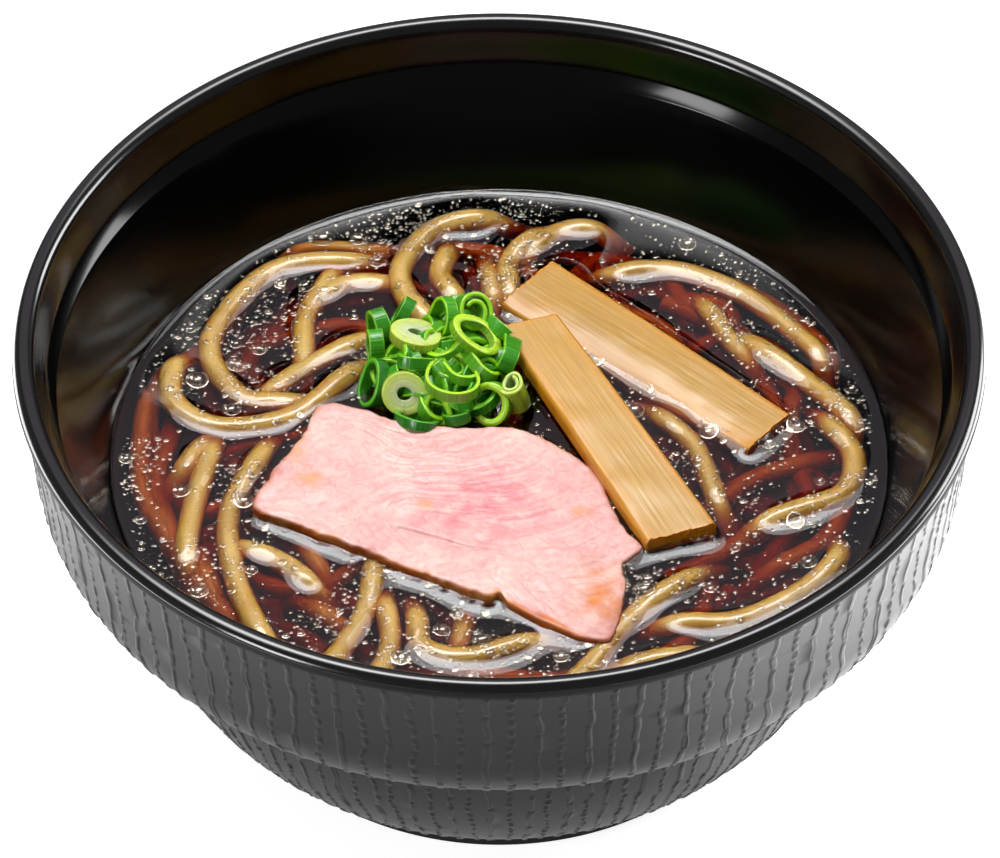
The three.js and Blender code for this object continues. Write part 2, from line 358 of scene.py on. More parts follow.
def grid_faces(rows: int, columns: int, wrap_rows: bool = False) -> np.ndarray:
    """Quads over rows of corners numbered row by row, each row a closed ring.

    Args:
        rows: the number of rows of corners.
        columns: the number of corners in a row.
        wrap_rows: whether the last row joins the first.

    Returns:
        The quads. Their outer side is the one that `along the row` x `up the rows` points to.
    """
    row = np.arange(rows if wrap_rows else rows - 1)[:, None]
    column = np.arange(columns)[None, :]
    next_row = (row + 1) % rows * columns
    next_column = (column + 1) % columns
    here = row * columns
    quads = [here + column, here + next_column, next_row + next_column, next_row + column]
    return np.stack([np.broadcast_to(q, (row.size, column.size)).ravel() for q in quads], axis=1)


def fan(ring: np.ndarray, tip: int, flip: bool = False) -> np.ndarray:
    """Triangles from a ring of corners to one tip corner.

    Args:
        ring: the ring's corner numbers.
        tip: the tip's number.
        flip: whether the triangles face the other way.

    Returns:
        The triangles.
    """
    ahead = np.roll(ring, -1)
    pair = (ahead, ring) if flip else (ring, ahead)
    return np.stack([pair[0], pair[1], np.full(len(ring), tip)], axis=1)


def capped(rows: int, columns: int, flip: bool = False) -> list[np.ndarray]:
    """Faces of a closed body of rings whose first and last close on two tips, numbered last.

    Args:
        rows: the number of rings.
        columns: the number of corners in a ring.
        flip: whether the rings run the other way round.

    Returns:
        The quads between the rings and the triangles at both ends.
    """
    ring = np.arange(columns)
    tip = rows * columns
    quads = grid_faces(rows, columns)
    return [
        quads[:, ::-1] if flip else quads,
        fan(ring, tip, flip=not flip),
        fan(ring + (rows - 1) * columns, tip + 1, flip=flip),
    ]


def round_axis(radius: np.ndarray | float, angle: np.ndarray, height: np.ndarray | float) -> np.ndarray:
    """Points at a radius, an angle and a height from the upright axis, one row each."""
    places = np.broadcast_arrays(radius * np.cos(angle), radius * np.sin(angle), height)
    return np.stack(places, axis=-1).reshape(-1, 3)


def turned(section: np.ndarray, segments: int) -> tuple[np.ndarray, list[np.ndarray]]:
    """Turn a half section round the upright axis.

    Args:
        section: (radius, height) rows from the axis, up the outside and back to the axis.
        segments: corners round each ring.

    Returns:
        The points and faces of the closed body.
    """
    angles = np.arange(segments) * 2 * np.pi / segments
    rings = section[1:-1]
    points = round_axis(rings[:, :1], angles, rings[:, 1:])
    tips = np.array([[0, 0, section[0][1]], [0, 0, section[-1][1]]])
    return np.vstack([points, tips]), capped(len(rings), segments)


# ---------- finishes ----------


@dataclass(frozen=True)
class Finish:
    """What every material here has in common: one Principled shader."""

    name: str

    def start(
        self, sockets: dict[str, object],
    ) -> tuple[bpy.types.Material, bpy.types.NodeTree, bpy.types.Node]:
        """Make the material.

        Args:
            sockets: values for the shader's own sockets, by name.

        Returns:
            The material, its tree and its shader node.
        """
        material = bpy.data.materials.new(self.name)
        material.use_nodes = True
        tree = material.node_tree
        shader = tree.nodes["Principled BSDF"]
        for label, value in sockets.items():
            shader.inputs[label].default_value = value
        return material, tree, shader

    def bump(
        self, tree: bpy.types.NodeTree, shader: bpy.types.Node, height: bpy.types.NodeSocket, depth: float,
    ) -> None:
        """Raise the surface by a height pattern.

        Args:
            tree: the material's tree.
            shader: the node that takes the normal.
            height: the pattern, from 0 to 1.
            depth: its relief in millimetres.
        """
        relief = add_node(tree, "ShaderNodeBump", {"Height": height, "Distance": depth * MM, "Strength": 1.0})
        tree.links.new(relief.outputs["Normal"], shader.inputs["Normal"])


@dataclass(frozen=True)
class MouldedResin(Finish):
    """Black melamine-like bowl resin, as it leaves the mould.

    A textured mould leaves a dull, faintly gritty black; a polished one leaves gloss. The gloss
    varies in clouds 25 mm across, and the grit is 0.4 mm, a little coarser than real so it shows.
    """

    colour: str
    roughness: float
    ior: float
    grit: float = 0.0
    clouds_per_metre: float = 40.0
    grains_per_metre: float = 2600.0

    def material(self) -> bpy.types.Material:
        """Build the material."""
        material, tree, shader = self.start({"Base Color": linear(self.colour), "IOR": self.ior})
        place = add_node(tree, "ShaderNodeTexCoord").outputs["Object"]
        wear = add_node(tree, "ShaderNodeTexNoise", {
            "Vector": place, "Scale": self.clouds_per_metre, "Detail": 3.0,
        })
        gloss = add_node(tree, "ShaderNodeMapRange", {
            "Value": wear.outputs["Fac"], "To Min": self.roughness * 0.9, "To Max": self.roughness * 1.12,
        })
        tree.links.new(gloss.outputs["Result"], shader.inputs["Roughness"])
        if self.grit:
            grains = add_node(tree, "ShaderNodeTexNoise", {
                "Vector": place, "Scale": self.grains_per_metre, "Detail": 2.0,
            })
            self.bump(tree, shader, grains.outputs["Fac"], self.grit)
        return material


@dataclass(frozen=True)
class SoyBroth(Finish):
    """Clear stock darkened with soy sauce under a thin film of fat, swallowing light with depth.

    The film adds gloss. Red light gets furthest, so what is sunk turns orange, then deep red.
    """

    tint: str = "#e69e1a"
    density: float = 660.0

    def material(self) -> bpy.types.Material:
        """Build the material."""
        material, tree, _ = self.start({
            "Base Color": (1.0, 1.0, 1.0, 1.0), "Roughness": 0.0, "IOR": 1.34, "Transmission Weight": 1.0,
            "Coat Weight": 0.5, "Coat IOR": 1.47, "Coat Roughness": 0.03,
        })
        depth = add_node(tree, "ShaderNodeVolumeAbsorption", {
            "Color": linear(self.tint), "Density": self.density,
        })
        tree.links.new(depth.outputs["Volume"], tree.nodes["Material Output"].inputs["Volume"])
        return material


@dataclass(frozen=True)
class SurfaceOil(Finish):
    """Melted fat floating on the soup: clear on top, its bent edge catching the light as an arc.

    `share` is how much of the light it throws back; the rest passes, so the soup shows through.
    """

    sheen: str = "#fff6e4"
    share: float = 0.04

    def material(self) -> bpy.types.Material:
        """Build the material."""
        return self.start({
            "Base Color": linear(self.sheen), "Metallic": 1.0, "Roughness": 0.06, "Alpha": self.share,
        })[0]


@dataclass(frozen=True)
class WheatNoodle(Finish):
    """Boiled wheat noodle: tan, slightly see-through dough with fine bran flecks, wet outside.

    Its tone drifts over 11 mm, and the flecks are 0.7 mm apart, as coarse as they need to show.
    """

    dough: Stops = ((0.3, "#d6aa44"), (0.5, "#e4bd59"), (0.7, "#ecca70"))
    bran: Stops = ((0.3, "#d8b47c"), (0.42, "#ffffff"))
    drifts_per_metre: float = 90.0
    flecks_per_metre: float = 1400.0

    def material(self) -> bpy.types.Material:
        """Build the material."""
        material, tree, shader = self.start({
            "Roughness": 0.42, "Subsurface Weight": 0.25, "Subsurface Radius": (1.0, 0.6, 0.25),
            "Subsurface Scale": 1.2 * MM, "Coat Weight": 0.35, "Coat Roughness": 0.25,
        })
        place = add_node(tree, "ShaderNodeTexCoord").outputs["Object"]
        drift, flecks = (
            add_node(tree, "ShaderNodeTexNoise", {
                "Vector": place, "Scale": scale, "Detail": 2.0,
            }).outputs["Fac"]
            for scale in (self.drifts_per_metre, self.flecks_per_metre)
        )
        dough, spots = ramp(tree, drift, self.dough), ramp(tree, flecks, self.bran)
        colour = add_node(tree, "ShaderNodeMix", {0: 0.4, 6: dough, 7: spots}, MULTIPLY)
        tree.links.new(colour.outputs[2], shader.inputs["Base Color"])
        self.bump(tree, shader, flecks, 0.05)
        return material


@dataclass(frozen=True)
class RoastPork(Finish):
    """Slow-roasted pork, sliced: pale pink, fibrous and moist, with a seared brown rim.

    Its tone clouds over 14 mm, and its fibres wander 2.3 mm apart. The slice gives where it is
    seared, pinkest and stained with fat.
    """

    pink: Stops = ((0.3, "#dca7a2"), (0.5, "#e4b5ae"), (0.68, "#e9c1b8"))
    blushing: str = "#dc8288"
    between_fibres: Stops = ((0.34, "#e0b0ae"), (0.6, "#ffffff"))
    crust: Stops = ((0.3, "#b05416"), (0.55, "#d47626"), (0.75, "#e4a45a"))
    fat: str = "#dd9a62"
    clouds_per_metre: float = 70.0
    fibres_per_metre: float = 430.0

    def material(self) -> bpy.types.Material:
        """Build the material."""
        material, tree, shader = self.start({
            "Roughness": 0.42, "Subsurface Weight": 0.3, "Subsurface Radius": (1.0, 0.45, 0.4),
            "Subsurface Scale": 1.5 * MM, "Coat Weight": 0.25, "Coat Roughness": 0.25,
        })
        place = add_node(tree, "ShaderNodeTexCoord").outputs["Object"]
        seared, blush, stain = (
            add_node(tree, "ShaderNodeAttribute", settings={"attribute_name": label}).outputs["Fac"]
            for label in ("seared", "blush", "stain")
        )
        cloud, fibres = (
            add_node(tree, "ShaderNodeTexNoise", {
                "Vector": place, "Scale": scale, "Detail": 4.0, "Distortion": distortion,
            }).outputs["Fac"]
            for scale, distortion in ((self.clouds_per_metre, 0.8), (self.fibres_per_metre, 1.3))
        )
        pink, pale = ramp(tree, cloud, self.pink), ramp(tree, fibres, self.between_fibres)
        flesh = add_node(tree, "ShaderNodeMix", {0: blush, 6: pink, 7: linear(self.blushing)}, MIX)
        meat = add_node(tree, "ShaderNodeMix", {0: 0.4, 6: flesh.outputs[2], 7: pale}, MULTIPLY)
        stained = add_node(tree, "ShaderNodeMix", {0: stain, 6: meat.outputs[2], 7: linear(self.fat)}, MIX)
        crust = ramp(tree, cloud, self.crust)
        surface = add_node(tree, "ShaderNodeMix", {0: seared, 6: stained.outputs[2], 7: crust}, MIX)
        tree.links.new(surface.outputs[2], shader.inputs["Base Color"])
        self.bump(tree, shader, fibres, 0.16)
        return material


@dataclass(frozen=True)
class BambooShoot(Finish):
    """Braised bamboo shoot: straw-coloured fibres side by side, amber where the stock soaks in.

    The strip gives places lengthwise and crosswise in fibres, and how soaked it is.
    """

    straw: Stops = ((0.3, "#b68934"), (0.5, "#bb8e39"), (0.7, "#c1943f"))
    amber: Stops = ((0.32, "#c47808"), (0.55, "#d48c14"), (0.75, "#e0a02c"))

    def material(self) -> bpy.types.Material:
        """Build the material."""
        material, tree, shader = self.start({
            "Roughness": 0.4, "Subsurface Weight": 0.2, "Subsurface Radius": (1.0, 0.55, 0.2),
            "Subsurface Scale": 1.5 * MM, "Coat Weight": 0.4, "Coat Roughness": 0.18,
        })
        lengthwise, crosswise, soaked = (
            add_node(tree, "ShaderNodeAttribute", settings={"attribute_name": label}).outputs["Fac"]
            for label in ("lengthwise", "crosswise", "soaked")
        )
        strip = add_node(tree, "ShaderNodeCombineXYZ", {"X": lengthwise, "Y": crosswise})
        fibres = add_node(tree, "ShaderNodeTexNoise", {
            "Vector": strip.outputs["Vector"], "Scale": 1.0, "Detail": 4.0,
        }).outputs["Fac"]
        straw, amber = ramp(tree, fibres, self.straw), ramp(tree, fibres, self.amber)
        colour = add_node(tree, "ShaderNodeMix", {0: soaked, 6: straw, 7: amber}, MIX)
        tree.links.new(colour.outputs[2], shader.inputs["Base Color"])
        self.bump(tree, shader, fibres, 0.05)
        return material


@dataclass(frozen=True)
class SpringOnionLeaf(Finish):
    """Freshly cut spring onion: deep green skin, paler inside, bright along the cut, waxy and wet.

    Each ring gives how leafy it is, from the white stem to the green top, what is inside and what
    is cut. Pith speckles are 0.45 mm apart.
    """

    skin: Stops = ((0.0, "#b6c244"), (0.35, "#8abc20"), (0.7, "#43a016"), (1.0, "#247818"))
    lining: Stops = ((0.0, "#d6dfae"), (0.35, "#a6cc44"), (0.7, "#5fb420"), (1.0, "#38941e"))
    rim: Stops = ((0.0, "#cadc60"), (0.35, "#c0e424"), (0.7, "#92d414"), (1.0, "#50b01a"))
    pith: Stops = ((0.4, "#a9b77e"), (0.55, "#e2e8cc"))
    between_ribs: Stops = ((0.35, "#b9c8b4"), (0.6, "#ffffff"))
    speckles_per_metre: float = 2200.0

    def material(self) -> bpy.types.Material:
        """Build the material."""
        material, tree, shader = self.start({
            "Roughness": 0.3, "Subsurface Weight": 0.3, "Subsurface Radius": (0.6, 1.0, 0.3),
            "Subsurface Scale": 0.8 * MM, "Coat Weight": 0.4, "Coat Roughness": 0.08,
        })
        leaf, inside, cut, around = (
            add_node(tree, "ShaderNodeAttribute", settings={"attribute_name": label}).outputs["Fac"]
            for label in ("leaf", "inside", "cut", "around")
        )
        skin, lining, rim = (ramp(tree, leaf, stops) for stops in (self.skin, self.lining, self.rim))
        wall = add_node(tree, "ShaderNodeMix", {0: inside, 6: skin, 7: lining}, MIX)
        stem = add_node(tree, "ShaderNodeMapRange", {
            "Value": leaf, "From Min": 0.05, "From Max": 0.45, "To Min": 1.0, "To Max": 0.0,
        })
        heart = add_node(tree, "ShaderNodeMath", {
            0: inside, 1: stem.outputs["Result"],
        }, {"operation": "MULTIPLY"})
        speckle = add_node(tree, "ShaderNodeTexNoise", {"Scale": self.speckles_per_metre, "Detail": 2.0})
        pith = ramp(tree, speckle.outputs["Fac"], self.pith)
        face = add_node(tree, "ShaderNodeMix", {0: heart.outputs["Value"], 6: rim, 7: pith}, MIX)
        ribs = add_node(tree, "ShaderNodeTexNoise", {"W": around, "Scale": 1.0, "Detail": 2.0},
                        {"noise_dimensions": "1D"}).outputs["Fac"]
        lines = ramp(tree, ribs, self.between_ribs)
        ribbed = add_node(tree, "ShaderNodeMix", {0: 0.7, 6: wall.outputs[2], 7: lines}, MULTIPLY)
        colour = add_node(tree, "ShaderNodeMix", {0: cut, 6: ribbed.outputs[2], 7: face.outputs[2]}, MIX)
        tree.links.new(colour.outputs[2], shader.inputs["Base Color"])
        self.bump(tree, shader, ribs, 0.12)
        return material


@dataclass(frozen=True)
class GlowingStudioPaper(Finish):
    """A white sheet whose own glow keeps the ground pure white behind the bowl: painted light, not a lamp.

    Its painted glow grows to the sides, from `glow_from` to `glow_to` metres off the line x = `middle`,
    a painted pool of light which the dull bowl picks up at a glancing angle.
    """

    colour: str = "#fbfbfb"
    glow: tuple[float, float] = (0.78, 7.0)
    middle: float = -0.035
    glow_from: float = 0.08
    glow_to: float = 0.18

    def material(self) -> bpy.types.Material:
        """Build the material."""
        material, tree, shader = self.start({
            "Base Color": linear(self.colour), "Roughness": 0.9, "Emission Color": linear("#ffffff"),
        })
        place = add_node(tree, "ShaderNodeTexCoord").outputs["Object"]
        across = add_node(tree, "ShaderNodeSeparateXYZ", {"Vector": place}).outputs["X"]
        aside = add_node(tree, "ShaderNodeMath", {0: across, 1: self.middle}, {"operation": "SUBTRACT"})
        away = add_node(tree, "ShaderNodeMath", {0: aside.outputs["Value"]}, {"operation": "ABSOLUTE"})
        # painted light: the emission grows away from x = middle, a pool of light painted on the ground
        glow = add_node(tree, "ShaderNodeMapRange", {
            "Value": away.outputs["Value"], "From Min": self.glow_from, "From Max": self.glow_to,
            "To Min": self.glow[0], "To Max": self.glow[1],
        })
        tree.links.new(glow.outputs["Result"], shader.inputs["Emission Strength"])
        return material


# ---------- the bowl ----------


class Resin(IntEnum):
    """The finishes of the bowl's body, in the order of its materials."""

    DULL = 0
    SATIN = 1
    GLOSS = 2
    # painted shade: a darker, barely reflecting copy of the resin for the foot and the lip's outer rows
    BARE = 3


class Grain(Enum):
    """The two kinds of raised mark that alternate round the outside, like wood grain.

    Each has its shortest and longest mark and its shortest and longest gap, in millimetres.
    """

    LINE = (2.6, 9.0, 0.35, 0.8)
    BEAD = (0.9, 2.1, 0.5, 1.3)


@dataclass
class Bowl:
    """The two-tier bowl: a smooth body that two bands of raised grain are laid into.

    Places are (radius, height). The tuples of places between two named ones are the handles of
    the curve that joins them.
    """

    rim_radius: float = 95.0
    rim_height: float = 87.8
    lip_width: float = 4.5
    lip_setback: float = 0.1
    lip_turn: Place = (-8.0, 168.0)
    lip_rows: int = 28
    shaded_lip_rows: int = 5
    groove_below_rim: Place = (0.7, 2.7)
    foot_radius: float = 54.7
    foot_inner_radius: float = 48.5
    foot_height: float = 7.5
    foot_recess: float = 3.4
    lower_tier_foot_radius: float = 59.6
    lower_tier_bulge: tuple[Place, ...] = ((68.2, 14.8), (74.5, 28.7))
    step: Place = (77.2, 46.3)
    shoulder: tuple[Place, ...] = ((84.0, 47.2), (90.9, 53.2))
    upper_tier_middle: Place = (91.6, 62.0)
    upper_tier_bulge: tuple[Place, ...] = ((92.2, 73.0),)
    under_lip: tuple[Place, ...] = ((90.0, 84.6), (89.2, 80.6))
    inner_ring_top: Place = (88.5, 78.6)
    inner_ring: tuple[Place, ...] = ((87.9, 77.6), (87.2, 76.7))
    inner_ring_foot: Place = (86.6, 76.0)
    under_ring: tuple[Place, ...] = ((85.9, 74.6),)
    straight_wall_top: Place = (85.0, 72.6)
    basin: tuple[Place, ...] = ((68.0, 36.0), (66.0, 15.0))
    floor_edge: Place = (28.0, 14.0)
    floor_height: float = 13.5
    soup_radius: float = 76.3
    soup_level: float = 53.7
    segments: int = 360
    curve_steps: int = 40
    wall_steps: int = 24
    band_inset: float = 0.55

    def lower_tier(self, steps: int) -> np.ndarray:
        """The lower tier's curve from its foot up to the step, `steps` points."""
        foot = (self.lower_tier_foot_radius, self.foot_height)
        return np.vstack([foot, bezier([foot, *self.lower_tier_bulge, self.step], steps - 1)])

    def upper_tier(self, steps: int) -> np.ndarray:
        """The upper tier's curve from the step up to the groove under the lip.

        Args:
            steps: the number of points.

        Returns:
            The points, evenly spaced.
        """
        groove = (self.rim_radius - self.groove_below_rim[0], self.rim_height - self.groove_below_rim[1])
        below = bezier([self.step, *self.shoulder, self.upper_tier_middle], self.curve_steps)
        above = bezier([self.upper_tier_middle, *self.upper_tier_bulge, groove], self.curve_steps)
        return resampled(np.vstack([self.step, below, above]), steps)

    def grain_curves(self) -> tuple[np.ndarray, np.ndarray]:
        """Where the lower and the upper band of grain lie, with few rows on the plain shoulder."""
        lower = resampled(self.lower_tier(80)[:-1], 70)
        upper = self.upper_tier(90)
        return lower, np.vstack([resampled(upper[:16], 6)[:-1], resampled(upper[15:-1], 76)])

    def lip(self) -> np.ndarray:
        """The rounded lip from the groove over to the inner edge."""
        around = np.radians(np.linspace(*self.lip_turn, self.lip_rows))
        bend = self.lip_width / 2
        middle = np.array([self.rim_radius - self.lip_setback - bend, self.rim_height - bend])
        return middle + bend * np.stack([np.cos(around), np.sin(around)], axis=1)

    def inner_wall(self) -> np.ndarray:
        """The inside from under the lip down to the middle of the floor."""
        steps = self.wall_steps
        soup = (self.soup_radius, self.soup_level)
        return np.vstack([
            bezier([tuple(self.lip()[-1]), *self.under_lip, self.inner_ring_top], steps),
            bezier([self.inner_ring_top, *self.inner_ring, self.inner_ring_foot], steps),
            bezier([self.inner_ring_foot, *self.under_ring, self.straight_wall_top], steps // 2),
            bezier([self.straight_wall_top, soup], steps),
            bezier([soup, *self.basin, self.floor_edge], steps * 2),
            bezier([self.floor_edge, (0.0, self.floor_height)], 4),
        ])

    def wall_radius(self, height: float) -> float:
        """The inside radius at a height."""
        wall = self.inner_wall()[::-1]
        return float(np.interp(height, wall[:, 1], wall[:, 0]))

    def foot(self) -> np.ndarray:
        """The foot ring from the middle of its recess, under its two edges and up its outside."""
        inner, outer = self.foot_inner_radius, self.foot_radius
        return np.array([
            (0.0, self.foot_recess), (inner, self.foot_recess), (inner + 0.4, 0.2), (inner + 0.7, 0.0),
            (outer - 0.15, 0.0), (outer, 0.15), (outer, self.foot_height - 0.2),
        ])

    def body(self, materials: Sequence[bpy.types.Material]) -> bpy.types.Object:
        """The smooth body, set in a little where the grain bands lie on it.

        Args:
            materials: one finish for each Resin; the tiers are dull, the lip satin but for its
            outer rows and the inside gloss; the foot and the lip's outer rows take painted shade,
            a darker, barely reflecting copy of the resin.

        Returns:
            The closed mesh.
        """
        lower = inset(self.lower_tier(30), self.band_inset)
        upper = inset(self.upper_tier(40), self.band_inset)
        lip = self.lip()
        zones = (
            # the foot and the lip's outer rows get painted shade: a darker copy of the resin that mirrors
            # little
            (Resin.BARE, self.foot()),
            (Resin.DULL, np.vstack([lower[1:], upper[2:]])),
            (Resin.BARE, lip[:self.shaded_lip_rows]),
            (Resin.SATIN, lip[self.shaded_lip_rows:]),
            (Resin.GLOSS, self.inner_wall()),
        )
        points, faces = turned(np.vstack([rows for _, rows in zones]), self.segments)
        piece = mesh_piece("bowl_body", points, faces, materials)
        strips = np.concatenate([np.full(len(rows), resin) for resin, rows in zones])[1:-2]
        ends = [Resin.BARE, Resin.GLOSS]
        picks = np.repeat(np.append(strips, ends), self.segments)
        piece.data.polygons.foreach_set("material_index", picks.astype(np.int32))
        return piece


def section_normals(section: np.ndarray) -> np.ndarray:
    """Unit normals of a (radius, height) curve that runs upwards.

    Args:
        section: the curve's points.

    Returns:
        One normal for each, pointing away from the axis.
    """
    along = np.gradient(section, axis=0)
    along /= np.linalg.norm(along, axis=1, keepdims=True)
    return np.stack([along[:, 1], -along[:, 0]], axis=1)


def inset(section: np.ndarray, depth: float) -> np.ndarray:
    """A (radius, height) curve moved inwards by `depth`."""
    return section - section_normals(section) * depth


@dataclass
class GrainBand:
    """A band of wood-like grain round one tier: columns of raised, round-ended marks.

    Lengths are millimetres; the mark's own ranges are factors of its half width and height.
    """

    name: str
    curve: np.ndarray
    seed: int
    marks: int = 122
    half_width: float = 0.6
    height: float = 0.28
    wander: float = 0.26
    wave_lengths: tuple[float, ...] = (37, 15, 7)
    stray: float = 0.3
    depth: float = 0.9
    sink: float = 0.1
    back_rows: int = 6
    offsets: tuple[float, ...] = (-1.02, -0.8, -0.62, -0.44, 0.0, 0.44, 0.62, 0.8, 1.02)
    full_width_radius: float = 86
    long_share: float = 0.15
    long_factor: float = 1.8
    widths: Place = (0.7, 1.15)
    shift: float = 0.2
    outer_edge: float = 1.15
    inner_edge: float = 0.7
    edge_width: float = 0.3
    hollow_share: float = 0.3
    hollow_depth: float = 0.75
    heights: Place = (0.75, 1.1)

    def columns(self) -> tuple[np.ndarray, np.ndarray]:
        """Where the mesh columns run and how high they stand.

        Returns:
            The angle and the relief in millimetres, each by row and column.
        """
        rng = np.random.default_rng(self.seed)
        arc = travelled(self.curve)
        radius = self.curve[:, 0]
        narrow = np.minimum(1, radius / self.full_width_radius)
        angles, heights = [], []
        for k in range(self.marks):
            middle = k * 2 * np.pi / self.marks + self.middle(rng, arc) / radius
            angles.append(middle[:, None] + np.array(self.offsets) * (narrow / radius)[:, None])
            heights.append(self.marked(rng, arc, Grain.LINE if k % 2 else Grain.BEAD))
        return np.hstack(angles), np.hstack(heights)

    def middle(self, rng: np.random.Generator, arc: np.ndarray) -> np.ndarray:
        """How far a column strays sideways on its way up.

        Args:
            rng: the source of chance.
            arc: the distance up the tier of each row.

        Returns:
            Millimetres to the side, for each row.
        """
        waves = sum(
            rng.uniform(0.3, 1) * np.sin(arc * 2 * np.pi / length + rng.uniform(0, 6.3))
            for length in self.wave_lengths
        )
        return waves * self.wander + rng.uniform(-self.stray, self.stray)

    def marked(self, rng: np.random.Generator, arc: np.ndarray, grain: Grain) -> np.ndarray:
        """The relief of one column of marks, some of them hollow in the middle.

        Args:
            rng: the source of chance.
            arc: the distance up the tier of each row.
            grain: the kind of mark.

        Returns:
            Heights in millimetres by row and mesh column.
        """
        shortest, longest, least_gap, most_gap = grain.value
        offsets = np.array(self.offsets)
        relief = np.zeros((len(arc), len(offsets)))
        foot = -rng.uniform(0, longest)
        while foot < arc[-1]:
            length = rng.uniform(shortest, longest)
            if rng.random() < self.long_share:
                length *= self.long_factor
            top = foot + length
            wide = self.half_width * rng.uniform(*self.widths)
            shift = rng.uniform(-self.shift, self.shift)
            beyond = np.maximum.reduce([foot + wide - arc, arc - top + wide, np.zeros(len(arc))])
            away = np.hypot(beyond[:, None], offsets + shift) / wide
            raised = np.clip((self.outer_edge - away) / self.edge_width, 0, 1)
            if rng.random() < self.hollow_share:
                hollow = np.clip((self.inner_edge - away) / self.edge_width, 0, 1)
                raised = raised * (1 - self.hollow_depth * hollow)
            relief = np.maximum(relief, eased(raised) * rng.uniform(*self.heights))
            foot = top + rng.uniform(least_gap, most_gap)
        return relief * self.height

    def build(self, material: bpy.types.Material) -> bpy.types.Object:
        """The band as a closed ring whose back is buried in the body.

        Args:
            material: the finish.

        Returns:
            The closed mesh.
        """
        angles, relief = self.columns()
        relief[[0, -1]] = 0
        stand = (relief - self.sink)[:, :, None]
        front = self.curve[:, None, :] + section_normals(self.curve)[:, None, :] * stand
        columns = angles.shape[1]
        back = inset(resampled(self.curve, self.back_rows), self.depth)[::-1]
        rings = np.concatenate([front, np.broadcast_to(back[:, None, :], (len(back), columns, 2))])
        turns = np.concatenate([angles, resampled(angles, self.back_rows)[::-1]])
        points = round_axis(rings[:, :, 0], turns, rings[:, :, 1])
        return mesh_piece(self.name, points, [grid_faces(len(rings), columns, wrap_rows=True)], [material])


# ---------- noodles ----------


@dataclass(frozen=True)
class Strand:
    """A noodle seen from above: how far its crown stands proud of the usual, and its route."""

    rise: float
    route: tuple[Place, ...]


SHOWING_STRANDS = (
    Strand(0.6, ((-29, 56), (-45, 54), (-56, 39), (-58, 29), (-51, 17), (-40, 15))),
    Strand(0.8, ((-65, 25), (-65, 16), (-57, 9), (-42, 11), (-29, 24))),
    Strand(0.4, ((-46, 18), (-38, 26), (-28, 33))),
    Strand(0.0, ((-39, 27), (-39, 40), (-34, 52))),
    Strand(0.2, ((-36, 46), (-31, 50), (-23, 50))),
    Strand(1.4, ((-3, 68), (-13, 65), (-20, 53), (-19, 46), (-15, 39))),
    Strand(0.6, ((-11, 57), (-12, 52), (-9, 46))),
    Strand(0.6, ((2, 47), (2, 56), (7, 63))),
    Strand(0.2, ((6, 59), (12, 65), (19, 66))),
    Strand(0.2, ((24, 53), (35, 54), (49, 47), (60, 35), (64, 29))),
    Strand(-0.5, ((42, 43), (46, 35), (49, 30))),
    Strand(0.4, ((51, 32), (62, 21), (70, 10))),
    Strand(0.2, ((66, 9), (70, 1), (68, -9), (53, -17))),
    Strand(-0.4, ((32, 12), (38, 5), (43, -12))),
    Strand(0.3, ((-47, 1), (-53, -16), (-51, -34), (-45, -50))),
    Strand(-0.2, ((-57, 2), (-60, -13), (-61, -27))),
    Strand(0.1, ((-49, -25), (-43, -28), (-37, -34))),
    Strand(0.3, ((-24, -29), (-26, -42), (-30, -51), (-33, -57))),
    Strand(0.1, ((-22, -41), (-21, -49), (-22, -55), (-24, -60))),
    Strand(0.3, ((-16, -44), (-15, -51), (-7, -54), (6, -50))),
    Strand(0.4, ((14, -61), (17, -57), (26, -43), (37, -33))),
    Strand(0.2, ((34, -45), (46, -44), (60, -35), (66, -27))),
)
SUNK_STRANDS = (
    Strand(-0.2, ((-2, 53), (-1, 46))),
    Strand(-1.2, ((-7, -45), (-8, -51))),
    Strand(-0.2, ((25, -56), (37, -53))),
    Strand(-3.0, ((44, -9), (51, -3), (60, 1))),
    Strand(-0.3, ((-59, 3.5), (-62, -2))),
    Strand(-1.6, ((-37, -25), (-35, -29))),
    Strand(-1.6, ((-41, 60), (-23, 60))),
    Strand(-2.0, ((-35, -40), (-31, -44))),
    Strand(-2.4, ((-58, -27), (-55, -37))),
    Strand(-3.2, ((-66, 5), (-68, -8), (-64, -20))),
    Strand(-2.6, ((-10, 62), (0, 60), (8, 52))),
    Strand(-2.8, ((24, 44), (33, 38), (36, 30))),
    Strand(-3.4, ((-44, 36), (-30, 40), (-22, 34))),
    Strand(-3.0, ((54, -28), (64, -20), (68, -10))),
    Strand(-2.6, ((-69, 20), (-71, 6), (-70, -8), (-64, -22))),
    Strand(-3.0, ((-62, 30), (-68, 22), (-70, 12))),
    Strand(-3.2, ((-52, 48), (-44, 56), (-32, 61))),
    Strand(-2.8, ((48, 50), (58, 42), (66, 30))),
    Strand(-2.6, ((-66, -14), (-60, -30), (-52, -42))),
    Strand(-3.2, ((10, 40), (22, 36), (30, 30))),
    Strand(-3.0, ((-8, -56), (8, -58), (20, -58))),
)


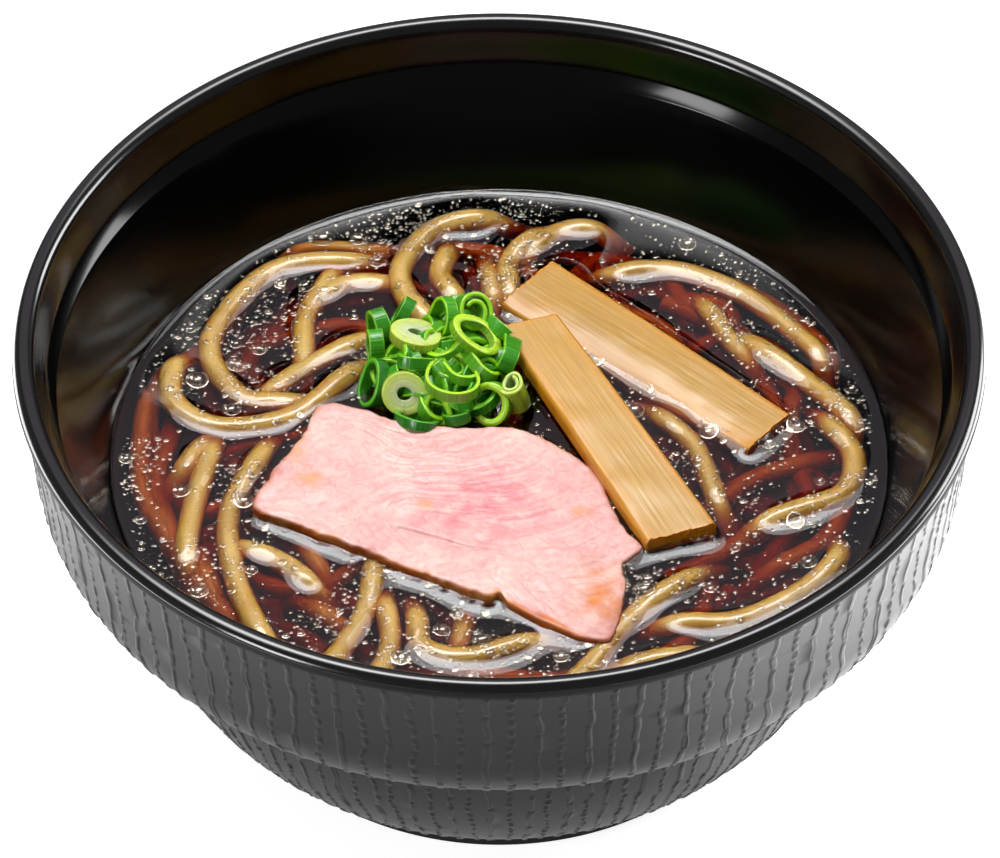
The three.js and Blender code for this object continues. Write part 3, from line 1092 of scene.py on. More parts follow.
@dataclass
class Noodles:
    """The noodles that show, those just sunk, a tangle below them and a dark core at the bottom."""

    soup_level: float
    diameter: float = 4.6
    unevenness: float = 0.04
    crown: float = 0.9
    run_out: float = 9.0
    dive_reach: float = 68.0
    buried_height: float = 46.2
    heap_reach: float = 66.0
    deep_heights: tuple[float, ...] = (48.6, 46.6, 44.8)
    deep_counts: tuple[int, ...] = (7, 14, 22)
    stride: float = 6.0
    curl: float = 0.05
    sharpest_turn: float = 0.9
    core_floor: Place = (36.0, 21.0)
    core_basin: Place = (58.0, 24.0)
    core_side: Place = (64.5, 38.0)
    core_shoulder: Place = (65.5, 43.5)
    core_top: Place = (58.0, 43.5)
    lump_size: float = 5.5
    lump_height: float = 1.2
    seed: int = 11

    def crest_path(self, strand: Strand) -> np.ndarray:
        """A strand's centre line: its route at the height of its crown, a dive at each end.

        Args:
            strand: the route and the rise.

        Returns:
            The points along it.
        """
        height = self.soup_level + self.crown + strand.rise - self.diameter / 2
        places = np.array([(x, y, height) for x, y in strand.route])
        ends = [self.dive(places[1], places[0]), self.dive(places[-2], places[-1])]
        return smooth_path(np.vstack([ends[0], places, ends[1]]), 24)

    def dive(self, before: np.ndarray, end: np.ndarray) -> np.ndarray:
        """The buried end of a strand, clear of the wall.

        Args:
            before: the last place but one.
            end: the last place of its route.

        Returns:
            The place it dives to.
        """
        ahead = end - before
        ahead = end + ahead / np.linalg.norm(ahead) * self.run_out
        inward = min(1.0, self.dive_reach / math.hypot(ahead[0], ahead[1]))
        return np.array([ahead[0] * inward, ahead[1] * inward, min(self.buried_height, end[2] - 2)])

    def deep_paths(self) -> list[np.ndarray]:
        """Curling strands in layers under the ones that show."""
        rng = np.random.default_rng(self.seed)
        layers = zip(self.deep_heights, self.deep_counts)
        return [self.deep_path(rng, height) for height, count in layers for _ in range(count)]

    def deep_path(self, rng: np.random.Generator, height: float) -> np.ndarray:
        """The centre line of one deep strand, which turns back before it meets the wall.

        Args:
            rng: the source of chance.
            height: the middle height of its layer.

        Returns:
            The points along it.
        """
        out = (self.heap_reach - 4) * math.sqrt(rng.uniform(0.05, 1))
        angle = rng.uniform(0, 2 * np.pi)
        place = out * direction(angle)
        heading = rng.uniform(0, 2 * np.pi)
        curl = rng.normal(0, self.curl)
        farthest = self.heap_reach - 2
        points = []
        for k in range(rng.integers(10, 20)):
            level = height + 0.8 * math.sin(k * 0.9 + angle) + rng.uniform(-0.3, 0.3)
            points.append([place[0], place[1], level])
            heading += curl * self.stride + rng.normal(0, 0.1)
            ahead = place + self.stride * direction(heading)
            if np.hypot(*ahead) > farthest:
                home = math.atan2(-place[1], -place[0])
                swing = (home - heading + np.pi) % (2 * np.pi) - np.pi
                heading += math.copysign(min(abs(swing), self.sharpest_turn), swing)
                ahead = place + self.stride * direction(heading)
                ahead *= min(1.0, farthest / np.hypot(*ahead))
            place = ahead
        return smooth_path(points, 8)

    def drawn(
        self, name: str, paths: list[np.ndarray], step: float, sides: int, material: bpy.types.Material,
    ) -> bpy.types.Object:
        """Sweep round dough along centre lines with Geometry Nodes.

        Args:
            name: the piece's name.
            paths: the centre lines, in millimetres.
            step: the spacing of the rings along them.
            sides: corners of each ring.
            material: the finish.

        Returns:
            The noodles as one plain mesh.
        """
        lines = [even_steps(path, step) for path in paths]
        starts = np.cumsum([0] + [len(line) for line in lines])
        edges = [(i, i + 1) for a, b in zip(starts, starts[1:]) for i in range(a, b - 1)]
        mesh = bpy.data.meshes.new(name + "_lines")
        mesh.from_pydata((np.vstack(lines) * MM).tolist(), edges, [])
        source = bpy.data.objects.new(name + "_lines", mesh)
        values = {
            "Diameter": self.diameter * MM, "Sides": sides, "Unevenness": self.unevenness, "Dough": material,
        }
        return realised(source, noodle_tree(), values, name)

    def core(self, material: bpy.types.Material) -> bpy.types.Object:
        """The close mass at the bottom, lumpy on top like the strands it stands for.

        Args:
            material: the finish.

        Returns:
            The closed mesh.
        """
        bottom, crown = (0.0, self.core_floor[1]), (0.0, self.core_top[1])
        outline = np.vstack([
            bottom, bezier([bottom, self.core_floor], 6),
            bezier([self.core_floor, self.core_basin, self.core_side], 10),
            bezier([self.core_side, self.core_shoulder, self.core_top], 8),
            bezier([self.core_top, crown], 40),
        ])
        points, faces = turned(outline, 160)
        lumps = rough_noise(points / self.lump_size, self.seed, 2)
        points[:, 2] += np.where(points[:, 2] > 30, lumps * self.lump_height, 0)
        return mesh_piece("noodle_core", points, faces, [material])


def noodle_tree() -> bpy.types.NodeTree:
    """Geometry Nodes that sweep an uneven round section along every line of a mesh.

    The dough swells and thins over 14 mm and ripples over 2.4 mm.

    Returns:
        The node tree.
    """
    tree, given = node_group("drawn_noodles", {
        "Lines": "Geometry", "Diameter": "Float", "Sides": "Int", "Unevenness": "Float", "Dough": "Material",
    }, "Noodles")
    times = {"operation": "MULTIPLY"}
    curve = add_node(tree, "GeometryNodeMeshToCurve", {"Mesh": given["Lines"]})
    level = add_node(tree, "GeometryNodeSetCurveNormal", {"Curve": curve.outputs["Curve"]}, {"mode": "Z_UP"})
    radius = add_node(tree, "ShaderNodeMath", {0: given["Diameter"], 1: 0.5}, times)
    section = add_node(tree, "GeometryNodeCurvePrimitiveCircle", {
        "Resolution": given["Sides"], "Radius": radius.outputs["Value"],
    })
    swells_per_metre, ripples_per_metre = 70.0, 420.0
    swell = add_node(tree, "ShaderNodeTexNoise", {"Scale": swells_per_metre, "Detail": 2.0})
    girth = add_node(tree, "ShaderNodeMapRange", {
        "Value": swell.outputs["Fac"], "To Min": 0.9, "To Max": 1.1,
    })
    tube = add_node(tree, "GeometryNodeCurveToMesh", {
        "Curve": level.outputs["Curve"], "Profile Curve": section.outputs["Curve"],
        "Scale": girth.outputs["Result"], "Fill Caps": True,
    })
    ripple = add_node(tree, "ShaderNodeTexNoise", {"Scale": ripples_per_metre, "Detail": 2.0})
    centred = add_node(tree, "ShaderNodeMath", {0: ripple.outputs["Fac"], 1: 0.5}, {"operation": "SUBTRACT"})
    reach = add_node(tree, "ShaderNodeMath", {0: given["Unevenness"], 1: given["Diameter"]}, times)
    amount = add_node(tree, "ShaderNodeMath", {0: centred.outputs["Value"], 1: reach.outputs["Value"]}, times)
    outwards = add_node(tree, "GeometryNodeInputNormal")
    shift = add_node(tree, "ShaderNodeVectorMath", {
        0: outwards.outputs["Normal"], "Scale": amount.outputs["Value"],
    }, {"operation": "SCALE"})
    moved = add_node(tree, "GeometryNodeSetPosition", {
        "Geometry": tube.outputs["Mesh"], "Offset": shift.outputs["Vector"],
    })
    smooth = add_node(tree, "GeometryNodeSetShadeSmooth", {"Geometry": moved.outputs["Geometry"]})
    real = add_node(tree, "GeometryNodeRealizeInstances", {"Geometry": smooth.outputs["Geometry"]})
    dressed = add_node(tree, "GeometryNodeSetMaterial", {
        "Geometry": real.outputs["Geometry"], "Material": given["Dough"],
    })
    add_node(tree, "NodeGroupOutput", {"Noodles": dressed.outputs["Geometry"]})
    return tree


# ---------- pork ----------


def distance_to_line(points: np.ndarray, *corners: Place) -> np.ndarray:
    """How far points are, seen from above, from a line through corners.

    Args:
        points: the places.
        corners: the line's corners.

    Returns:
        One distance for each point.
    """
    nearest = np.full(len(points), np.inf)
    for a, b in zip(corners, corners[1:]):
        a, b = np.array(a), np.array(b)
        along = np.clip((points[:, :2] - a) @ (b - a) / ((b - a) @ (b - a)), 0, 1)
        nearest = np.minimum(nearest, np.linalg.norm(points[:, :2] - a - along[:, None] * (b - a), axis=1))
    return nearest


def patch(points: np.ndarray, x: float, y: float, wide: float, tall: float) -> np.ndarray:
    """A soft patch seen from above: 1 at its middle, fading over its width and height."""
    return np.exp(-(((points[:, 0] - x) / wide) ** 2 + ((points[:, 1] - y) / tall) ** 2))


@dataclass
class PorkSlice:
    """The slice of roast pork: a low crowned slab with a seared edge towards the front.

    `edge` rows are the share of the way out from the middle and how far they lie below the top.
    Patches are x, y, width and height.
    """

    top: float = 57.2
    thickness: float = 3.9
    crown: float = 0.4
    crown_bend: float = 14
    droop: float = 1.3
    middle: Place = (-10.0, -17.0)
    right_end: float = 27.0
    corners: tuple[Place, ...] = (
        (-36, 11.1), (-32.8, 11.8), (-27.5, 10), (-21.7, 7.3), (-17.4, 5.4), (-12.1, 5.3), (-5.2, 4.3),
        (-0.4, 5), (4.3, 4.3), (9.6, 1.3), (13.8, -2), (19.1, -7.2), (22.2, -15.8), (24.8, -22.4),
        (27.8, -26.3), (26.2, -29), (24, -31.9), (24.5, -36.9), (23.3, -44.8), (20.7, -51.6), (16.6, -51.4),
        (13.5, -50.2), (1.7, -42.6), (0.4, -40.2), (-1.7, -40.8), (-5.6, -39.4), (-19.2, -32.5),
        (-25.4, -28.9), (-40.7, -21.2), (-48, -17.2), (-47.2, -13), (-45.6, -9.1), (-39, 2.9),
    )
    edge_start: float = 0.965
    edge: tuple[Place, ...] = (
        (0.985, 0.06), (0.996, 0.3), (1.0, 0.8), (1.0, 1.7), (1.0, 2.6), (0.997, 3.4), (0.99, 3.75),
        (0.975, 3.9), (0.9, 3.9), (0.5, 3.9), (0.1, 3.9),
    )
    crease: tuple[Place, ...] = ((-19.4, -22.7), (-7.0, -27.5), (3.7, -29.9))
    pinkest: tuple[float, ...] = (-3, -16, 17, 10)
    browned: tuple[float, ...] = (20, -41, 5, 9)
    spots: tuple[tuple[float, ...], ...] = (
        (-37.3, -9.9, 2.6, 2.0), (-14.6, -16.6, 1.3, 1.6), (16.1, -17.7, 2.0, 1.4), (-40, -2, 1.6, 3.0),
    )
    segments: int = 400
    rings: int = 90

    def outline(self) -> tuple[np.ndarray, np.ndarray]:
        """The ragged edge seen from above, and at each of its points the way out from the middle."""
        loop = np.vstack([smooth_path(self.corners, 20, closed=True), self.corners[0]])
        line = resampled(loop, self.segments + 1)[:-1]
        ragged = rough_noise(np.c_[line / 2.2, np.zeros(len(line))], 5, 3) * 0.35
        outward = line - np.array(self.middle)
        outward /= np.linalg.norm(outward, axis=1, keepdims=True)
        return line + outward * ragged[:, None], outward

    def build(self, material: bpy.types.Material) -> bpy.types.Object:
        """Make the slice.

        Args:
            material: the finish.

        Returns:
            The closed mesh.
        """
        outline, outward = self.outline()
        middle = np.array(self.middle)
        edge_reach, edge_drop = np.array(self.edge).T
        reach = np.concatenate([np.linspace(0.01, self.edge_start, self.rings), edge_reach])
        drop = np.concatenate([np.zeros(self.rings), edge_drop])
        flat = middle + (outline - middle) * reach[:, None, None]
        x, y = flat[:, :, 0], flat[:, :, 1]
        along = np.maximum(0, x - middle[0]) / (self.right_end - middle[0])
        z = self.top + self.crown * np.cos(y / self.crown_bend) - self.droop * along ** 2 - drop[:, None]
        points = np.stack([x, y, z], axis=2).reshape(-1, 3)
        faces = capped(len(reach), self.segments, flip=True)
        tips = np.array([[*middle, self.top + self.crown], [*middle, self.top - self.thickness]])

        outward = np.tile(outward, (len(reach), 1))
        reach, drop = np.repeat(reach, self.segments), np.repeat(drop, self.segments)
        on_top = np.clip(1 - drop / 0.8, 0, 1)
        points[:, 2] += self.fibres(points) * on_top
        torn = rough_noise(points / 1.1, 21, 3) * 0.22
        points[:, :2] += outward * (torn * (1 - on_top) * (reach > 0.95))[:, None]
        shading = {label: np.append(v, [0, 0]) for label, v in self.colouring(points, reach, drop).items()}
        return mesh_piece("pork_slice", np.vstack([points, tips]), faces, [material], shading)

    def fibres(self, points: np.ndarray) -> np.ndarray:
        """Bundles of muscle fibre and a crease.

        Args:
            points: places on the slice.

        Returns:
            Their relief in millimetres over the cut face.
        """
        angle = 0.5 + value_noise(points / 16, 31) * 0.9
        u = points[:, 0] * np.cos(angle) + points[:, 1] * np.sin(angle)
        v = -points[:, 0] * np.sin(angle) + points[:, 1] * np.cos(angle)
        flat = np.zeros(len(points))
        bundles = value_noise(np.stack([u / 5, v / 1.1, flat], axis=1), 32)
        strands = value_noise(np.stack([u / 2.2, v / 0.5, flat], axis=1), 33)
        swell = rough_noise(points / 9, 34, 2)
        crease = distance_to_line(points, *self.crease)
        return bundles * 0.13 + strands * 0.06 + swell * 0.25 - 0.4 * np.exp(-((crease / 0.45) ** 2))

    def colouring(self, points: np.ndarray, reach: np.ndarray, drop: np.ndarray) -> dict[str, np.ndarray]:
        """Where the slice is seared, where it is pinkest and where fat stains it, from 0 to 1.

        Args:
            points: the places.
            reach: the share of the way out at each.
            drop: how far below the top each lies.

        Returns:
            The values by the name that the finish reads.
        """
        x, y = points[:, 0], points[:, 1]
        noise = rough_noise(points / 3, 41, 3)
        front = np.clip((-y - 0.55 * x - 28) / 10 + 0.5, 0, 1)
        charred = front * np.clip((x + 4) / 8, 0, 1) * np.clip((18 - x) / 6, 0, 1)
        edge = np.clip((reach - self.edge_start + charred * 0.07 + 0.025 * noise) / 0.045, 0, 1)
        side = np.clip(drop / 0.5, 0, 1)
        rim = np.maximum(edge * (0.45 + 0.45 * front), side * (0.5 + 0.5 * front))
        browned = patch(points, *self.browned) * (0.75 + 0.6 * noise)
        spots = sum(patch(points, *spot) for spot in self.spots)
        stain = spots * (0.75 + 0.4 * rough_noise(points / 1.5, 43))
        return {
            "seared": np.clip(np.maximum(rim, browned), 0, 1),
            "blush": np.clip(patch(points, *self.pinkest) * (0.7 + 0.55 * noise), 0, 1),
            "stain": np.clip(stain, 0, 1),
        }


# ---------- bamboo shoots ----------


@dataclass
class MenmaStrip:
    """A strip of braised bamboo shoot, cut square, arched a little, its fibres running lengthwise.

    `end_rows` are the places along the strip, in shares of its length, and the sizes of its
    section at the rounded start; the rounded end mirrors them.
    """

    name: str
    start: Spot
    end: Spot
    arch: float
    widths: Place
    sag: float
    skew: float
    seed: int
    thickness: float = 4.1
    stations: int = 150
    top_half: float = 0.435
    top_columns: int = 54
    bottom_half: float = 0.44
    bottom_columns: int = 14
    side: tuple[Place, ...] = (
        (-0.462, 0.02), (-0.482, 0.08), (-0.497, 0.2), (-0.5, 0.4), (-0.5, 0.65), (-0.5, 0.85), (-0.48, 0.96),
    )
    end_rows: tuple[Place, ...] = ((0.0, 0.4), (0.0, 0.75), (0.0, 0.93), (0.0, 0.985), (0.0015, 0.997))
    body_start: float = 0.006

    def section(self) -> np.ndarray:
        """The rounded cross section as (across from -0.5 to 0.5, down from 0 to 1) rows."""
        top = [(-v, 0.0) for v in np.linspace(-self.top_half, self.top_half, self.top_columns)]
        bottom = [(v, 1.0) for v in np.linspace(-self.bottom_half, self.bottom_half, self.bottom_columns)]
        return np.array([*top, *self.side, *bottom, *((-v, w) for v, w in self.side[::-1])])

    def build(self, material: bpy.types.Material) -> bpy.types.Object:
        """Make the strip.

        Args:
            material: the finish.

        Returns:
            The closed mesh.
        """
        start, end = np.array(self.start), np.array(self.end)
        along = end - start
        length = np.linalg.norm(along)
        along /= length
        across = np.array([-along[1], along[0], 0.0])
        across /= np.linalg.norm(across)
        up = np.cross(along, across)
        section = self.section()
        ends, shrink = np.array(self.end_rows).T
        stations = np.linspace(self.body_start, 1 - self.body_start, self.stations)
        u = np.concatenate([ends, stations, 1 - ends[::-1]])
        scale = np.concatenate([shrink, np.ones(self.stations), shrink[::-1]])
        v = section[None, :, 0] * scale[:, None]
        w = 0.5 + (section[None, :, 1] - 0.5) * scale[:, None]
        u = np.broadcast_to(u[:, None], v.shape)
        width = self.widths[0] + (self.widths[1] - self.widths[0]) * u
        slope = np.where(v < 0, self.sag * 4 * v * v * np.sqrt(np.sin(np.pi * np.clip(u, 0, 1)) + 1e-9), 0)
        bend = self.arch * np.sin(np.pi * u) - slope
        forward, sideways = u * length + self.skew * v, v * width
        place = (
            start + forward[..., None] * along + sideways[..., None] * across
            + (bend - w * self.thickness)[..., None] * up
        )
        on_top = np.clip(1 - w * 4, 0, 1)
        place += (self.fibres(forward, sideways, w) * on_top)[..., None] * up
        torn = np.stack([sideways.ravel() / 0.8, w.ravel() * 6, u.ravel()], axis=1)
        torn = rough_noise(torn, self.seed + 9, 2).reshape(v.shape)
        place += (((u <= 0.0) | (u >= 1.0)) * torn * 0.2)[..., None] * along
        tips = np.array([place[0].mean(axis=0), place[-1].mean(axis=0)])
        shading = {
            "lengthwise": np.append((forward / 9).ravel(), [0, 0]),
            "crosswise": np.append((sideways / 0.55).ravel(), [0, 0]),
            "soaked": np.append(self.soaking(u, v, w).ravel(), [1, 1]),
        }
        points = np.vstack([place.reshape(-1, 3), tips])
        return mesh_piece(self.name, points, capped(*v.shape), [material], shading)

    def fibres(self, along: np.ndarray, across: np.ndarray, down: np.ndarray) -> np.ndarray:
        """Long fine fibres and a little waviness.

        Args:
            along: millimetres along the strip.
            across: millimetres across it.
            down: the share of the way down.

        Returns:
            The relief in millimetres, shaped like them.
        """
        fine, wave = (
            np.stack([along.ravel() / long, across.ravel() / wide, down.ravel()], axis=1)
            for long, wide in ((14, 0.5), (7, 5))
        )
        relief = value_noise(fine, self.seed) * 0.025 + rough_noise(wave, self.seed + 3, 2) * 0.1
        return relief.reshape(along.shape)

    def soaking(self, u: np.ndarray, v: np.ndarray, w: np.ndarray) -> np.ndarray:
        """How stained the strip is: its sides, its ends and the long side that hangs.

        Args:
            u: the share of the way along.
            v: the share of the width, from -0.5 to 0.5.
            w: the share of the way down.

        Returns:
            Values from 0 to 1, shaped like them.
        """
        sides = np.clip(w * 3, 0, 1)
        ends = np.clip(1 - np.minimum(u, 1 - u) / 0.012, 0, 1)
        shoulders = np.clip((np.abs(v) - 0.3) / 0.2, 0, 1)
        hanging = np.clip((-v - 0.1) * 2.2, 0, 1) * min(1.0, self.sag / 2)
        return np.clip(np.maximum.reduce([sides, ends, shoulders * 0.6, hanging * 0.8]), 0, 1)


FRONT_MENMA = MenmaStrip(
    "menma_strip_front", (6, 31, 61.6), (35.6, -24.4, 57.6), 0.5, (12, 14.6), 0.3, 2.2, 61)
BACK_MENMA = MenmaStrip(
    "menma_strip_back", (5.6, 47.4, 56.6), (53.4, 5.7, 55.6), 0.3, (16.5, 13.2), 2.4, 0, 71)


# ---------- spring onion ----------


@dataclass(frozen=True)
class OnionRing:
    """One cut ring or roll: its middle, size, lean from upright, heading, turns and leafiness."""

    at: Spot
    radius: float
    wall: float
    length: float
    lean: float
    toward: float
    leaf: float = 0.7
    turns: float = 1.0
    squash: float = 0.12


@dataclass
class SpringOnion:
    """The heap of sliced spring onion: chosen rings on top, many small ones, and a core."""

    middle: Spot = (-10.5, 22.0, 55.6)
    reach: Spot = (12.0, 11.0, 3.4)
    core_reach: Spot = (12.6, 11.6, 3.6)
    core_height: float = 55.4
    filler_count: int = 46
    seed: int = 23
    thick_wall: float = 2
    layers: int = 7
    widest_wall: float = 0.72
    coil: float = 0.3
    groove: float = 0.12
    rib: float = 0.45
    rings: tuple[OnionRing, ...] = (
        OnionRing((-18.9, 12.9, 58.8), 4.5, 3.1, 2.6, 52, -84, leaf=0.1, squash=0.02),
        OnionRing((-16.7, 26.2, 61.6), 5.1, 4.5, 2.2, 15, 56, leaf=0.06, squash=0.04),
        OnionRing((-5.7, 32.0, 62.4), 4.7, 0.9, 3.4, 50, -45, leaf=0.66, turns=1.55, squash=0.05),
        OnionRing((-11.3, 31.0, 61.8), 4.4, 0.7, 2.4, 71, -159, leaf=0.68, squash=0.1),
        OnionRing((-4.7, 24.4, 63.4), 5.5, 1.7, 1.7, 37, 5, leaf=0.42, squash=0.08),
        OnionRing((-9.3, 14.3, 61.4), 6.0, 0.7, 2.4, 8, 60, leaf=0.5, squash=0.1),
        OnionRing((-7.6, 17.4, 61.0), 4.0, 0.8, 2.2, 13, 49, leaf=0.6, squash=0.15),
        OnionRing((3.3, 13.1, 58.6), 2.9, 0.6, 6.6, 16, -173, leaf=0.2, turns=1.7),
        OnionRing((1.4, 22.3, 60.0), 4.4, 1.0, 3.4, 68, 170, leaf=0.82, squash=0.2),
        OnionRing((-24.0, 30.2, 59.2), 4.0, 1.1, 3.0, 88, -155, leaf=0.85),
        OnionRing((-19.5, 34.6, 59.2), 3.6, 1.0, 2.6, 66, 161, leaf=0.9),
        OnionRing((-24.7, 26.5, 58.2), 4.0, 1.1, 3.0, 90, -172, leaf=0.75),
        OnionRing((-15.8, 20.1, 60.6), 3.9, 1.0, 2.4, 35, 81, leaf=0.85, squash=0.2),
        OnionRing((-1.5, 11.4, 57.4), 4.3, 1.5, 2.6, 55, -118, leaf=0.55, squash=0.04),
        OnionRing((-12.0, 9.6, 57.6), 3.2, 1.1, 2.6, 60, -109, leaf=0.62),
        OnionRing((-8.6, 8.2, 56.8), 2.6, 0.9, 2.2, 26, 112, leaf=0.95),
        OnionRing((-16.4, 6.9, 56.6), 4.2, 1.1, 2.2, 36, 73, leaf=1.0),
        OnionRing((-25.0, 16.9, 57.2), 4.6, 1.0, 2.6, 63, -164, leaf=0.98),
        OnionRing((-10.9, 23.2, 60.8), 3.9, 1.2, 2.4, 20, 131, leaf=0.62),
        OnionRing((-3.3, 19.2, 60.8), 4.0, 1.0, 2.4, 38, 22, leaf=0.6),
        OnionRing((-13.6, 24.4, 60.2), 3.4, 1.0, 2.4, 52, -16, leaf=0.7),
        OnionRing((-20.3, 20.9, 59.4), 4.2, 1.2, 2.6, 50, -171, leaf=0.72),
        OnionRing((-21.0, 26.0, 59.2), 3.6, 1.0, 2.4, 40, 200, leaf=0.9),
        OnionRing((-9.0, 36.0, 59.2), 3.8, 1.0, 2.8, 75, 100, leaf=0.8),
        OnionRing((0.6, 29.4, 59.6), 3.8, 1.0, 2.6, 60, 40, leaf=0.7),
    )

    def fillers(self) -> list[OnionRing]:
        """Small rings in every direction, close over the core."""
        rng = np.random.default_rng(self.seed)
        found = []
        for _ in range(self.filler_count):
            angle = rng.uniform(0, 2 * np.pi)
            out = math.sqrt(rng.uniform(0, 1))
            x = self.middle[0] + self.reach[0] * out * math.cos(angle)
            y = self.middle[1] + self.reach[1] * out * math.sin(angle)
            z = self.middle[2] + self.reach[2] * math.sqrt(1 - out ** 2 * 0.9) * rng.uniform(0.6, 1.0)
            found.append(OnionRing(
                (x, y, z), rng.uniform(2.8, 4.2), rng.uniform(0.8, 1.3), rng.uniform(2.0, 3.0),
                rng.uniform(15, 80), rng.uniform(0, 360), rng.uniform(0.6, 1.0), 1.0, rng.uniform(0.04, 0.2),
            ))
        return found

    def section(self, layers: int) -> np.ndarray:
        """A ring's section, up the skin, over the cut, down the lining and back under.

        Args:
            layers: how many steps cross each cut face.

        Returns:
            Rows of place through the wall, 1 at the skin, and height, 1 at the upper cut.
        """
        face = np.linspace(1, 0, layers + 1)
        return np.array([
            *((1.0, h) for h in (-0.8, 0.0, 0.8)), *((f * 0.94 + 0.03, 1.0) for f in face),
            *((0.0, h) for h in (0.8, 0.0, -0.8)), *((f * 0.94 + 0.03, -1.0) for f in face[::-1]),
        ])

    def ring(self, shape: OnionRing, seed: int) -> tuple[np.ndarray, list[np.ndarray], dict[str, np.ndarray]]:
        """The mesh of one ring.

        Args:
            shape: what it looks like.
            seed: picks its unevenness.

        Returns:
            Its points, faces and shading values.
        """
        rng = np.random.default_rng(seed)
        closed = abs(shape.turns - 1) < 1e-6
        steps = max(16, round(40 * shape.turns))
        angle = np.linspace(0, 2 * np.pi * shape.turns, steps, endpoint=not closed)
        thick = shape.wall > self.thick_wall
        section = self.section(self.layers if thick else 2)
        oval = shape.squash * np.cos(2 * angle + rng.uniform(0, 6.3))
        lobes = oval + shape.squash * 0.4 * np.cos(3 * angle + rng.uniform(0, 6.3))
        coil = np.ones(steps) if closed else 1 - self.coil * angle / (2 * np.pi)
        outer = shape.radius * (1 + lobes) * coil
        wall = min(shape.wall, shape.radius * self.widest_wall)
        radius = outer[:, None] - wall * (1 - section[:, 0])
        edge = rng.uniform(-0.12, 0.12) * np.cos(angle + rng.uniform(0, 6.3))
        height = shape.length / 2 * section[:, 1] * (1 + edge[:, None])
        if thick:
            groove = self.groove * np.cos(section[:, 0] * 2 * np.pi * 3)
            height = height + np.where(section[:, 1] > 0.9, groove, 0)
        lean, toward = math.radians(shape.lean), math.radians(shape.toward)
        tilt = np.array([
            [math.cos(lean), 0, math.sin(lean)], [0, 1, 0], [-math.sin(lean), 0, math.cos(lean)],
        ])
        spin = np.array([
            [math.cos(toward), -math.sin(toward), 0], [math.sin(toward), math.cos(toward), 0], [0, 0, 1],
        ])
        points = round_axis(radius, angle[:, None], height) @ (spin @ tilt).T + np.array(shape.at)
        count = len(section)
        faces = [grid_faces(steps, count, wrap_rows=closed)[:, ::-1]]
        if not closed:
            faces.append(np.arange(count)[None, :])
            faces.append((np.arange(count)[::-1] + (steps - 1) * count)[None, :])
        shading = {
            "leaf": np.full(len(points), shape.leaf),
            "around": np.repeat(angle * shape.radius / self.rib + seed * 31, count),
            "inside": np.tile(1 - section[:, 0], steps),
            "cut": np.tile((np.abs(section[:, 1]) > 0.9).astype(float), steps),
        }
        return points, faces, shading

    def build(self, material: bpy.types.Material) -> bpy.types.Object:
        """Make the whole heap as one piece.

        Args:
            material: the finish.

        Returns:
            The rings as one mesh.
        """
        points, faces, shading, count = [], [], [], 0
        for seed, shape in enumerate([*self.rings, *self.fillers()]):
            ring_points, ring_faces, ring_shading = self.ring(shape, seed)
            points.append(ring_points)
            faces += [f + count for f in ring_faces]
            shading.append(ring_shading)
            count += len(ring_points)
        merged = {label: np.concatenate([s[label] for s in shading]) for label in shading[0]}
        return mesh_piece("spring_onion_rings", np.vstack(points), faces, [material], merged)

    def core(self, material: bpy.types.Material) -> bpy.types.Object:
        """The close-packed middle of the heap, mostly hidden, lumpy and dark green.

        Args:
            material: the finish.

        Returns:
            The closed mesh.
        """
        angle = np.linspace(-np.pi / 2, np.pi / 2, 40)
        points, faces = turned(np.stack([np.cos(angle), np.sin(angle)], axis=1), 80)
        points = points * np.array(self.core_reach) + np.array([*self.middle[:2], self.core_height])
        points[:, 2] += rough_noise(points / 2.5, self.seed, 2) * 0.5
        shading = {"leaf": np.ones(len(points)), "around": points[:, 0]}
        return mesh_piece("spring_onion_core", points, faces, [material], shading)


# ---------- the broth and what floats on it ----------


def seen_from_above(
    pieces: Sequence[bpy.types.Object], x: np.ndarray, y: np.ndarray, where: np.ndarray,
) -> np.ndarray:
    """The height of the highest piece over each place, or far below where there is none.

    Args:
        pieces: the objects to look down on.
        x: the places' x, in millimetres.
        y: their y.
        where: which places matter.

    Returns:
        Heights in millimetres, shaped like x.
    """
    heights = np.full(x.shape, -100.0)
    down = Vector((0, 0, -1))
    depsgraph = bpy.context.evaluated_depsgraph_get()
    for piece in pieces:
        tree = BVHTree.FromObject(piece, depsgraph)
        corners = np.array([v.co for v in piece.data.vertices]) / MM
        low, high = corners.min(axis=0), corners.max(axis=0)
        inside = where & (x > low[0]) & (x < high[0]) & (y > low[1]) & (y < high[1])
        for i, j in zip(*np.nonzero(inside)):
            hit = tree.ray_cast(Vector((x[i, j] * MM, y[i, j] * MM, 0.2)), down)[0]
            if hit is not None:
                heights[i, j] = max(heights[i, j], hit.z / MM)
    return heights


def disc_grid(across: int) -> tuple[np.ndarray, np.ndarray, np.ndarray]:
    """A square grid pressed into a disc of radius 1, its cells of much the same size.

    Args:
        across: the number of cells along a side.

    Returns:
        The (x, y) places, the quads, and the corner numbers of the rim, anticlockwise.
    """
    line = np.linspace(-1, 1, across + 1)
    a, b = np.meshgrid(line, line, indexing="ij")
    wide = np.abs(a) >= np.abs(b)
    radius = np.where(wide, a, b)
    safe = np.where(radius == 0, 1, radius)
    angle = np.where(wide, np.pi / 4 * b / safe, np.pi / 2 - np.pi / 4 * a / safe)
    places = np.stack([radius * np.cos(angle), radius * np.sin(angle)], axis=2).reshape(-1, 2)
    number = np.arange((across + 1) ** 2).reshape(across + 1, across + 1)
    corners = number[:-1, :-1], number[1:, :-1], number[1:, 1:], number[:-1, 1:]
    rim = np.concatenate([number[:-1, 0], number[-1, :-1], number[:0:-1, -1], number[0, :0:-1]])
    return places, np.stack([corner.ravel() for corner in corners], axis=1), rim


